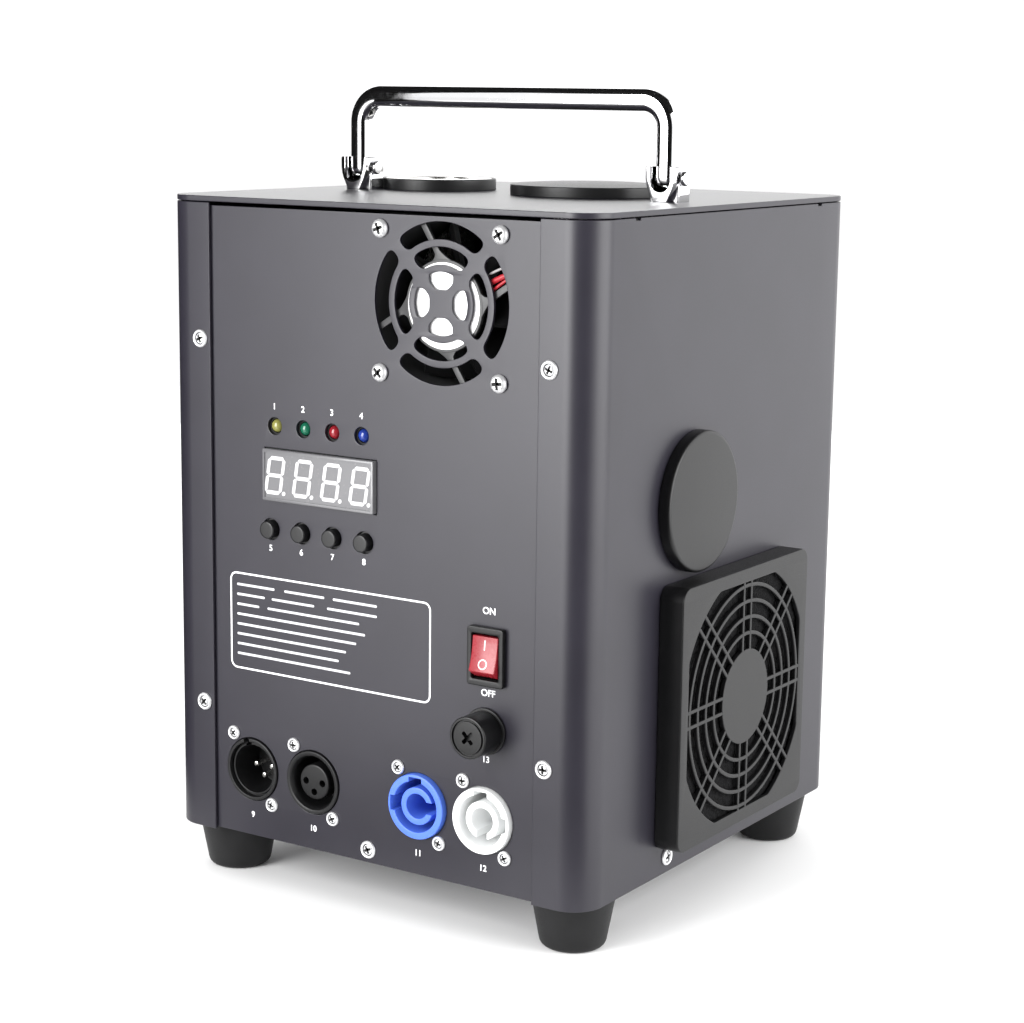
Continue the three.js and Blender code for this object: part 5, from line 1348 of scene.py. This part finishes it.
class SPARK_OT_switch(Operator):
    """Rocker switch: rounded bezel and body, and a hollow-faced rocker with its two marks."""

    bl_idname = "spark.switch"
    bl_label = "Power switch"

    def execute(self, context):
        x, z = on_panel("switch_body")
        rim = sheet_part(
            "bezel", rounded_rectangle(0, 0, 15 * MM, 21 * MM, 1.2 * MM),
            [rounded_rectangle(0, 0, 11.2 * MM, 16.2 * MM, 0.6 * MM)],
            0.3 * MM, 2.3 * MM, 0.45 * MM,
        )
        box = slab("box", rectangle(0, 0, 13.2 * MM, 19.2 * MM), -22 * MM, 0.6 * MM)
        well = slab("well", rectangle(0, 0, 11.2 * MM, 16.2 * MM), -7 * MM, 3 * MM)
        tabs = [
            slab("tab", rectangle(0, row * 6.4 * MM, 6.3 * MM, 0.8 * MM), -30 * MM, -14 * MM)
            for row in (-1, 0, 1)
        ]
        body = joined("switch", rim, cut(box, well), *tabs)
        add_piece("switch_bezel", moved(body, x, z), ON_PANEL, "black_plastic", node="switch_body", even=True)
        self.rocker(x, z)
        return {"FINISHED"}

    def rocker(self, x, z):
        """A side profile whose face hollows as the squared share between sloped ends, carried across."""
        half, base, end, middle, root, tilt = 6.2 * MM, 7.4 * MM, 3.3 * MM, 2.8 * MM, 4.6 * MM, -0.2
        lift = 0.5 * MM

        def face(share):
            return middle + (end - middle) * share**2

        share = np.linspace(-1, 1, 25)
        front = np.stack([share * half + lift, face(share)], -1)
        bottom = arc(0, 0, root, -0.5, -math.pi + 0.5, 16)
        side = eased(np.concatenate([[[-base, -0.6 * MM]], front, [[base, -0.6 * MM]], bottom]), 0.25 * MM, 3)
        body = slab("rocker", side, -5.3 * MM, 5.3 * MM, 0.3 * MM)
        pin = slab("pin", circle(0, 0, 1.1 * MM, 24), -6.1 * MM, 6.1 * MM)
        across = Matrix(((0, 0, 1, 0), (1, 0, 0, 0), (0, 1, 0, 0), (0, 0, 0, 1)))
        whole = joined("rocker", body, pin)
        whole.transform(across)
        cap = moved(spun(whole, tilt, "X"), x, z)
        add_piece("rocker_cap", cap, ON_PANEL, "rocker_red", body="rocker", node="switch_rocker")
        ring = sheet_part(
            "off_mark", circle(0, 0, 1.8 * MM, 48), [circle(0, 0, 1.42 * MM, 48)], -0.15 * MM, 0.05 * MM,
        )
        line = slab("on_mark", rectangle(0, 0, 0.4 * MM, 3.5 * MM), -0.15 * MM, 0.05 * MM)
        marks = []
        for mark, place in ((line, 0.52), (ring, -0.56)):
            spun(mark, math.atan2(2 * (end - middle) * place, half), "X")
            marks.append(moved(mark, 0, place * half + lift, face(place)))
        both = spun(joined("marks", *marks), tilt, "X")
        add_piece(
            "rocker_marks", moved(both, x, z), ON_PANEL, "rocker_mark", body="rocker",
        )


class SPARK_OT_fuse(Operator):
    """Fuse holder, its screw cap with a cross slot, and the glass link."""

    bl_idname = "spark.fuse"
    bl_label = "Fuse"

    def execute(self, context):
        x, z = on_panel("fuse_cap")
        holder = [
            (0, -32 * MM), (6.4 * MM, -32 * MM), (6.4 * MM, 0.3 * MM), (8.4 * MM, 0.3 * MM),
            (8.4 * MM, 1.3 * MM),
            (4.7 * MM, 1.3 * MM), (4.7 * MM, -6.3 * MM), (2.9 * MM, -6.3 * MM), (2.9 * MM, -22.6 * MM),
            (0, -22.6 * MM),
        ]
        reach = np.array([0, 0.5, 0.2, 0.2, 0.4, 0.2, 0.1, 0.1, 0.3, 0]) * MM
        barrel = turned("holder", eased(holder, reach, closed=False), steps=64)
        tab = slab("tab", rectangle(0, 0, 6.3 * MM, 0.8 * MM), -40 * MM, -31 * MM)
        add_piece(
            "fuse_barrel", moved(joined("holder", barrel, tab), x, z), ON_PANEL, "black_plastic",
            node="fuse_holder",
        )
        top = 11.6 * MM
        cap = [
            (0, -2.0 * MM), (2.9 * MM, -2.0 * MM), (2.9 * MM, -6 * MM), (4.3 * MM, -6 * MM),
            (4.3 * MM, 1.6 * MM), (7.5 * MM, 1.6 * MM),
            (7.5 * MM, top), (6.5 * MM, top), (6.5 * MM, top - 0.8 * MM), (5.85 * MM, top - 0.8 * MM),
            (5.85 * MM, top - 0.05 * MM), (0, top - 0.05 * MM),
        ]
        reach = np.array([0, 0.1, 0.1, 0.2, 0.1, 0.3, 0.6, 0.12, 0.1, 0.1, 0.12, 0]) * MM
        knob = turned("cap", eased(cap, reach, closed=False), steps=96)
        arm = rounded_rectangle(0, 0, 5.6 * MM, 1.5 * MM, 0.5 * MM, 4)
        arms = [
            spun(slab("arm", arm, top - 2.2 * MM, top + 1 * MM), math.pi / 4 + turn)
            for turn in (0, math.pi / 2)
        ]
        add_piece(
            "fuse_knob_cap", moved(cut(knob, *arms), x, z), ON_PANEL, "cap_black",
            body=body_of_node("fuse_cap"), node="fuse_cap",
        )
        back, front = depth_on_panel("fuse_link")
        inset, end = 4 * MM, 5 * MM
        glass = disc("glass", 2.35 * MM, back + inset, front - inset, 0.1 * MM, 0.1 * MM, steps=40)
        add_piece(
            "fuse_tube", moved(glass, x, z), ON_PANEL, "fuse_glass", body=body_of_node("fuse_link"),
            node="fuse_link",
        )
        ends = [
            disc("end", 2.6 * MM, low, high, 0.4 * MM, 0.4 * MM, steps=40)
            for low, high in ((back, back + end), (front - end, front))
        ]
        add_piece(
            "fuse_ends", moved(joined("ends", *ends), x, z), ON_PANEL, "contact",
            body=body_of_node("fuse_link"),
        )
        return {"FINISHED"}


PIN_PITCH = 3.8 * MM


class SPARK_OT_connectors(Operator):
    """Four round connectors, turned and cut for their keys, pins and holes."""

    bl_idname = "spark.connectors"
    bl_label = "Connectors"

    def execute(self, context):
        self.signal_in(*on_panel("signal_in_socket"))
        self.signal_out(*on_panel("signal_out_socket"))
        self.power("power_in", "power_in_socket", "socket_blue", 0.0)
        self.power("power_out", "power_out_socket", "socket_white", -math.pi / 2)
        return {"FINISHED"}

    def flange(self):
        """The plate behind the panel, open for the barrel."""
        outline, barrel = rounded_rectangle(0, 0, 24.8 * MM, 31 * MM, 3 * MM), circle(0, 0, 11 * MM, 64)
        return sheet_part("flange", outline, [barrel], -3.3 * MM, -1.5 * MM, 0.2 * MM)

    def signal_in(self, x, z):
        """An outer ring with a groove, an inner shell, a key notch and three pins."""
        outer, top, bore = 11.9 * MM, 0.8 * MM, 9.2 * MM
        profile = [
            (0, -24 * MM), (outer, -24 * MM), (outer, top), (bore + 1.35 * MM, top),
            (bore + 1.35 * MM, -1.6 * MM), (bore + 0.75 * MM, -1.6 * MM),
            (bore + 0.75 * MM, -0.7 * MM), (bore, -0.7 * MM), (bore, -15 * MM), (0, -15 * MM),
        ]
        reach = np.array([0, 0.3, 0.45, 0.25, 0.1, 0.1, 0.2, 0.2, 0.3, 0]) * MM
        shell = turned("shell", eased(profile, reach, closed=False), steps=112)
        key = slab(
            "key", rounded_rectangle(-2.4 * MM, bore + 0.9 * MM, 2.6 * MM, 3.2 * MM, 0.4 * MM), -8 * MM,
            3 * MM,
        )
        body = joined("signal_in", cut(shell, key), self.flange())
        add_piece("signal_inlet", moved(body, x, z), ON_PANEL, "black_plastic", node="signal_in_socket")
        pins = []
        for angle in (math.pi, 0.0, -math.pi / 2):
            pin = disc("pin", 1.15 * MM, -15.5 * MM, -6.2 * MM, 0, 0.9 * MM, steps=32)
            pins.append(moved(pin, PIN_PITCH * math.cos(angle), PIN_PITCH * math.sin(angle)))
        add_piece("signal_pins", moved(joined("pins", *pins), x, z), ON_PANEL, "contact")

    def signal_out(self, x, z):
        """A sloped mouth, a deep groove and an insert with three holes."""
        outer, top, bore, insert = 11.9 * MM, 0.8 * MM, 9.6 * MM, 6.65 * MM
        profile = [
            (0, -24 * MM), (outer, -24 * MM), (outer, top), (bore + 0.7 * MM, top - 0.1 * MM),
            (bore, -1.2 * MM), (bore, -15 * MM),
            (insert, -15 * MM), (insert, -0.6 * MM), (0, -0.6 * MM),
        ]
        reach = np.array([0, 0.3, 0.45, 0.5, 0.6, 0.2, 0.2, 0.7, 0]) * MM
        shell = turned("shell", eased(profile, reach, closed=False), steps=112)
        holes = []
        for angle in (math.pi, 0.0, -math.pi / 2):
            hole = circle(PIN_PITCH * math.cos(angle), PIN_PITCH * math.sin(angle), 1.35 * MM, 32)
            holes.append(slab("hole", hole, -12 * MM, 3 * MM))
        body = joined("signal_out", cut(shell, *holes), self.flange())
        add_piece("signal_outlet", moved(body, x, z), ON_PANEL, "black_plastic", node="signal_out_socket")

    def power(self, name, node, slot_name, turn):
        """A thick ring, two key notches, and a core with an open side."""
        x, z = on_panel(node)
        outer, top, bore = 11.9 * MM, 2.2 * MM, 9.4 * MM
        profile = [
            (0, -28 * MM), (outer, -28 * MM), (outer, top), (bore, top), (bore, -19 * MM), (0, -19 * MM),
        ]
        reach = np.array([0, 0.3, 0.5, 0.3, 0.3, 0]) * MM
        shell = turned("shell", eased(profile, reach, closed=False), steps=112)
        notches = [
            spun(
                slab("notch", rounded_rectangle(0, bore, 5.6 * MM, 2.9 * MM, 0.3 * MM, 3), -8 * MM, 5 * MM),
                angle,
            )
            for angle in (turn, turn + math.pi / 2)
        ]
        core_radius, core_bore, core_top = 6.9 * MM, 4.6 * MM, 1.0 * MM
        core = [
            (core_bore, -20 * MM), (core_radius, -20 * MM), (core_radius, core_top), (core_bore, core_top),
        ]
        core = turned("core", eased(core, np.array([0, 0, 0.35, 0.35]) * MM), steps=80, closed=True)
        gap = spun(slab("gap", rectangle(core_radius, 0, core_radius * 2, 4.4 * MM), -16 * MM, 5 * MM), turn)
        body = joined(name, cut(shell, *notches), cut(core, gap), self.flange())
        add_piece(name, moved(body, x, z), ON_PANEL, slot_name, node=node)


class SPARK_OT_print(Operator):
    """Printed marks: switch words, plain numbers and the outline of the data plate with bare rules."""

    bl_idname = "spark.print"
    bl_label = "Printed marks"

    def execute(self, context):
        sizes = context.scene.spark_panel
        low, high = 0.02 * MM, 0.02 * MM + sizes.print_depth
        x = on_panel("switch_rocker")[0]
        marks = [
            letters("on", "ON", sizes.switch_words, x + 0.3 * MM, 120.5 * MM, low, high),
            letters("off", "OFF", sizes.switch_words, x + 0.2 * MM, 91.3 * MM, low, high),
        ]
        numbers = [(f"indicator_{i}", 183.4, str(i)) for i in range(1, 5)]
        numbers += [(f"button_{i}", 131.0, str(i + 4)) for i in range(1, 5)]
        numbers += [(node, 27.6, str(i)) for i, node in enumerate(CONNECTORS, 9)]
        numbers.append(("fuse_cap", 67.4, "13"))
        for node, z, text in numbers:
            marks.append(
                letters(f"number_{text}", text, sizes.numbers * 0.86, on_panel(node)[0], z * MM, low, high)
            )
        marks.append(self.plate_outline(sizes, low, high))
        add_piece("print", joined("print", *marks), ON_PANEL, "ink")
        add_piece("print_rules", self.rules(low, high), ON_PANEL, "print_rule")
        return {"FINISHED"}

    def plate_outline(self, sizes, low, high):
        """A thin rounded frame."""
        x, z = (-69.2 + 22.3) / 2 * MM, (83.5 + 120.2) / 2 * MM
        width, tall = 91.5 * MM, 36.7 * MM
        line = sizes.print_line
        return sheet_part(
            "plate", rounded_rectangle(x, z, width, tall, 3 * MM),
            [rounded_rectangle(x, z, width - 2 * line, tall - 2 * line, 3 * MM - line)],
            low, high,
        )

    def rules(self, low, high):
        """Rows of plain bars of uneven length where the left-out words stand."""
        rows = []
        for row, bars in enumerate((
            (0.0, 0.27, 0.34, 0.62, 0.68, 0.98), (0.0, 0.2, 0.25, 0.55, 0.64, 0.98),
            (0.0, 0.16, 0.22, 0.86), (0.0, 0.9), (0.0, 0.84), (0.0, 0.77), (0.0, 0.72), (0.0, 0.8),
        )):
            z = (115.6 - 3.75 * row) * MM
            for start, stop in zip(bars[::2], bars[1::2]):
                x0, x1 = (-66 + 66 * start) * MM, (-66 + 66 * stop) * MM
                bar = rounded_rectangle((x0 + x1) / 2, z, x1 - x0, 0.9 * MM, 0.4 * MM, 3)
                rows.append(slab("rule", bar, low, high))
        return joined("rules", *rows)


class SPARK_OT_guard(Operator):
    """Fan guard: a cap whose mouth is a circle flattened at four sides, with rings, paired ribs and foam."""

    bl_idname = "spark.guard"
    bl_label = "Fan guard"

    def execute(self, context):
        sizes = context.scene.spark_guard
        low, high = node_box("guard_cover")
        y, z = on_side("guard_cover")
        span = high[1] - low[1]
        back, top = depth_on_side("guard_cover")
        half = span / 2 - sizes.rim
        radius = half * 1.114
        top -= 0.03 * MM
        mouth = np.clip(circle(0, 0, radius, 240), -half, half)
        outline = rounded_rectangle(0, 0, span, span, 5 * MM, 10)
        face = sheet_part("face", outline, [mouth], top - sizes.face, top, 0.5 * MM)
        inner = span - 3.6 * MM
        hollow = rounded_rectangle(0, 0, inner, inner, 3.2 * MM, 10)
        wall = sheet_part("wall", outline, [hollow], back, top - sizes.face * 0.6, 0.3 * MM)
        pitch = (half - 1.3 * MM - sizes.hub) / sizes.rings
        parts = [
            face, wall,
            slab("hub", circle(0, 0, sizes.hub, 128), top - sizes.face, top - 0.02 * MM, 0.35 * MM),
        ]
        for i in range(sizes.rings):
            r = sizes.hub + pitch * (i + 1)
            near, far = r - sizes.ring / 2, r + sizes.ring / 2
            low, high = top - sizes.face, top - 0.12 * MM
            ring = eased([(near, low), (far, low), (far, high), (near, high)], 0.45 * MM, 4)
            parts.append(turned("ring", ring, steps=160, closed=True))
        offset = (sizes.rib_gap + sizes.rib) / 2
        bar = rectangle(0, (sizes.face - 0.08 * MM) / 2, sizes.rib, sizes.face - 0.08 * MM)
        bar = eased(bar, 0.4 * MM, 4)
        for i in range(sizes.pairs):
            angle = i * math.tau / sizes.pairs
            slant = max(abs(math.cos(angle)), abs(math.sin(angle)))
            reach = min(radius, half / slant) + 1.2 * MM
            for side in (-offset, offset):
                path = np.array(
                    [[sizes.hub - 2 * MM, side, top - sizes.face], [reach, side, top - sizes.face]]
                )
                rib = self.rib(path, bar)
                parts.append(spun(rib, angle))
        body = moved(joined("guard", *parts), y, z)
        add_piece("guard", body, ON_SIDE, "black_plastic", body="guard", node="guard_cover", even=True)
        self.foam(y, z)
        return {"FINISHED"}

    def rib(self, path, section):
        """A section carried along a straight line: its first number across, its second outwards."""
        across = np.array([0.0, 1.0, 0.0])
        out = np.array([0.0, 0.0, 1.0])
        points = path[:, None] + section[None, :, :1] * across + section[None, :, 1:] * out
        return grid_mesh("rib", points)

    def foam(self, y, z):
        """A square pad whose face swells and dips in low waves, product of two cosines, over its grid."""
        low, high = node_box("filter_pad")
        half = (high[1] - low[1]) / 2
        u = np.linspace(-1, 1, 97)
        across, up = np.meshgrid(u, u, indexing="ij")
        back, top = depth_on_side("filter_pad")
        ripple = 0.18 * MM * (
            np.cos(across * 41) * np.cos(up * 37) + np.cos(across * 73 + up * 59)
        ) - 0.36 * MM
        edge = np.maximum(np.abs(across), np.abs(up)) ** 24
        front = np.stack([across * half, up * half, top + ripple - edge * 0.4 * MM], -1)
        rear = np.stack([across * half, up * half, np.full_like(across, back)], -1)
        faces = [grid_mesh("foam face", grid, wrap_columns=False, capped=False) for grid in (front, rear)]
        pad = joined("foam", *faces)
        work = bmesh.new()
        work.from_mesh(pad)
        edges = [e for e in work.edges if e.is_boundary]
        bmesh.ops.bridge_loops(work, edges=edges)
        work.to_mesh(pad)
        work.free()
        add_piece(
            "foam", moved(pad, y, z), ON_SIDE, "filter_foam", body=body_of_node("filter_pad"),
            node="filter_pad",
        )


class SPARK_OT_plug(Operator):
    """Round rubber plug over the side port: turned, with a soft edge and a hollow stem."""

    bl_idname = "spark.plug"
    bl_label = "Side plug"

    def execute(self, context):
        low, high = node_box("port_plug")
        y, z = on_side("port_plug")
        radius = (high[1] - low[1]) / 2
        back, top = depth_on_side("port_plug")
        stem = 21.7 * MM
        profile = [
            (0, top - 2.5 * MM), (stem - 2.5 * MM, top - 2.5 * MM), (stem - 2.5 * MM, back), (stem, back),
            (stem, 0.3 * MM), (radius, 0.3 * MM), (radius, top), (0, top),
        ]
        reach = np.array([0, 0.6, 0.3, 0.5, 0.3, 0.3, 1.5, 0]) * MM
        body = moved(turned("plug", eased(profile, reach, 8, closed=False), steps=160), y, z)
        add_piece("side_plug", body, ON_SIDE, "satin_rubber", body="plug", node="port_plug")
        return {"FINISHED"}


CAMERA_PLACE = (0.47582, -0.72653, 0.29769)


class SPARK_OT_stage(Operator):
    """Pale floor, white surround, tall soft lights with black cards between them, and the camera."""

    bl_idname = "spark.stage"
    bl_label = "Stage"

    def execute(self, context):
        settings = context.scene.spark_stage
        self.floor()
        self.surround(context, settings.sky)
        for name, turn, width, height, strength in (
            ("front_light", -17, 0.62, 1.05, settings.front), ("side_light", 98, 0.9, 1.05, settings.side),
            ("back_light", 152, 0.95, 1.05, settings.back), ("far_light", -146, 0.8, 0.7, settings.far),
        ):
            self.light(name, math.radians(turn), 1.16, width, height, strength)
        self.cards()
        self.camera(context, settings)
        return {"FINISHED"}

    def matt(self, name, scale, greys, rough):
        """A grey finish whose tone and roughness follow one cloud between two numbers each."""
        material, shader = new_material(name)
        cloud = noise(material, scale)
        links = material.node_tree.links
        links.new(ramp(material, cloud, *[(grey,) * 3 for grey in greys]), shader.inputs["Base Color"])
        links.new(spread(material, cloud, *rough), shader.inputs["Roughness"])
        return material, shader

    def floor(self):
        """A flat disc, level with the feet."""
        ground = turned("floor", [(0, 0), (1.2, 0), (30.0, 0)], steps=96)
        material, _ = self.matt("pale_floor", 6.0, (0.9, 0.93), (0.75, 0.85))
        ground.materials.append(material)
        mended(ground)
        floor = bpy.data.objects.new("floor", ground)
        bpy.context.scene.collection.objects.link(floor)

    def surround(self, context, strength):
        """An even white world of the given strength."""
        world = bpy.data.worlds.new("surround")
        context.scene.world = world
        world.use_nodes = True
        background = world.node_tree.nodes["Background"]
        background.inputs["Color"].default_value = (1, 1, 1, 1)
        background.inputs["Strength"].default_value = strength
        context.scene.view_settings.view_transform = "Standard"

    def light(self, name, turn, distance, width, height, strength):
        """A soft light on the floor facing the machine; its power is strength times pi times its area."""
        lamp = bpy.data.lights.new(name, "AREA")
        lamp.shape = "RECTANGLE"
        lamp.size = width
        lamp.size_y = height
        lamp.energy = strength * math.pi * width * height
        source = bpy.data.objects.new(name, lamp)
        source.matrix_world = face_matrix(
            (-math.cos(turn), -math.sin(turn), 0), (0, 0, 1), (math.sin(turn), -math.cos(turn), 0),
            (distance * math.sin(turn), -distance * math.cos(turn), height / 2 + 0.01),
        )
        source.visible_camera = False
        bpy.context.scene.collection.objects.link(source)

    def cards(self):
        """Black cards that only reflections meet: each wall, floor and ceiling is an arc between two rims."""
        def band(start, stop, rims):
            angle = np.radians(np.linspace(start, stop, 40))
            rims = np.array(rims)
            points = np.stack([
                rims[:, :1] * np.sin(angle), -rims[:, :1] * np.cos(angle),
                np.broadcast_to(rims[:, 1:], (len(rims), 40)),
            ], -1)
            return grid_mesh("band", points, wrap_columns=False, capped=False)

        wall = [(0.2, 0.002), (0.7, 0.002), (0.75, 0.05), (0.8, 1.06)]
        roof = [(1.3, 1.07), (0.01, 1.1)]
        near = [(0.13, 0.003), (0.24, 0.003)]
        bands = [band(3, 60, wall), band(-122, -39, wall), band(-39, 3, near), band(-180, 180, roof)]
        material, shader = self.matt("black_card", 40.0, (0.004, 0.008), (0.9, 1.0))
        shader.inputs["Specular IOR Level"].default_value = 0.0
        mesh = joined("cards", *bands)
        mesh.materials.append(material)
        cards = bpy.data.objects.new("black_cards", mesh)
        cards.visible_camera = cards.visible_diffuse = False
        cards.visible_shadow = cards.visible_transmission = False
        bpy.context.scene.collection.objects.link(cards)

    def camera(self, context, settings):
        """The camera looks back along its own axis, turned by yaw and pitch and then rolled."""
        yaw, pitch, roll = settings.yaw, settings.pitch, settings.roll
        back = Vector((math.sin(yaw) * math.cos(pitch), -math.cos(yaw) * math.cos(pitch), math.sin(pitch)))
        right = (-back).cross(Vector((0, 0, 1))).normalized()
        up = right.cross(-back)
        rolled_right = right * math.cos(roll) + up * math.sin(roll)
        rolled_up = up * math.cos(roll) - right * math.sin(roll)
        data = bpy.data.cameras.new("camera")
        data.lens = settings.lens
        data.sensor_width = 36
        data.clip_start = 0.01
        camera = bpy.data.objects.new("camera", data)
        context.scene.collection.objects.link(camera)
        camera.matrix_world = face_matrix(rolled_right, rolled_up, back, CAMERA_PLACE)
        context.scene.camera = camera


class SPARK_PT_panel(Panel):
    """Lists every step that builds the machine."""

    bl_idname = "SPARK_PT_panel"
    bl_label = "Cold spark machine"
    bl_space_type = "VIEW_3D"
    bl_region_type = "UI"
    bl_category = "Spark"

    def draw(self, context):
        for step in STEPS:
            self.layout.operator(step.bl_idname)


STEPS = (
    SPARK_OT_finishes,
    SPARK_OT_cover,
    SPARK_OT_top,
    SPARK_OT_feet,
    SPARK_OT_handle,
    SPARK_OT_outlet,
    SPARK_OT_hopper,
    SPARK_OT_panel,
    SPARK_OT_screws,
    SPARK_OT_vent_fan,
    SPARK_OT_display,
    SPARK_OT_buttons,
    SPARK_OT_switch,
    SPARK_OT_fuse,
    SPARK_OT_connectors,
    SPARK_OT_print,
    SPARK_OT_guard,
    SPARK_OT_plug,
    SPARK_OT_stage,
)

SETTINGS = {
    "spark_case": CaseSizes,
    "spark_handle": HandleSizes,
    "spark_top": TopSizes,
    "spark_panel": PanelSizes,
    "spark_guard": GuardSizes,
    "spark_finishes": Finishes,
    "spark_stage": StageSettings,
}


def register():
    """Makes the settings and steps known to Blender."""
    for group in (*SETTINGS.values(), *STEPS, SPARK_PT_panel):
        bpy.utils.register_class(group)
    for name, group in SETTINGS.items():
        setattr(bpy.types.Scene, name, PointerProperty(type=group))


def unregister():
    """Takes the settings and steps away again."""
    for name in SETTINGS:
        delattr(bpy.types.Scene, name)
    for group in reversed((*SETTINGS.values(), *STEPS, SPARK_PT_panel)):
        bpy.utils.unregister_class(group)


def main():
    """Runs every step in its order."""
    register()
    for step in STEPS:
        family, action = step.bl_idname.split(".")
        getattr(getattr(bpy.ops, family), action)()


if __name__ == "__main__":
    main()
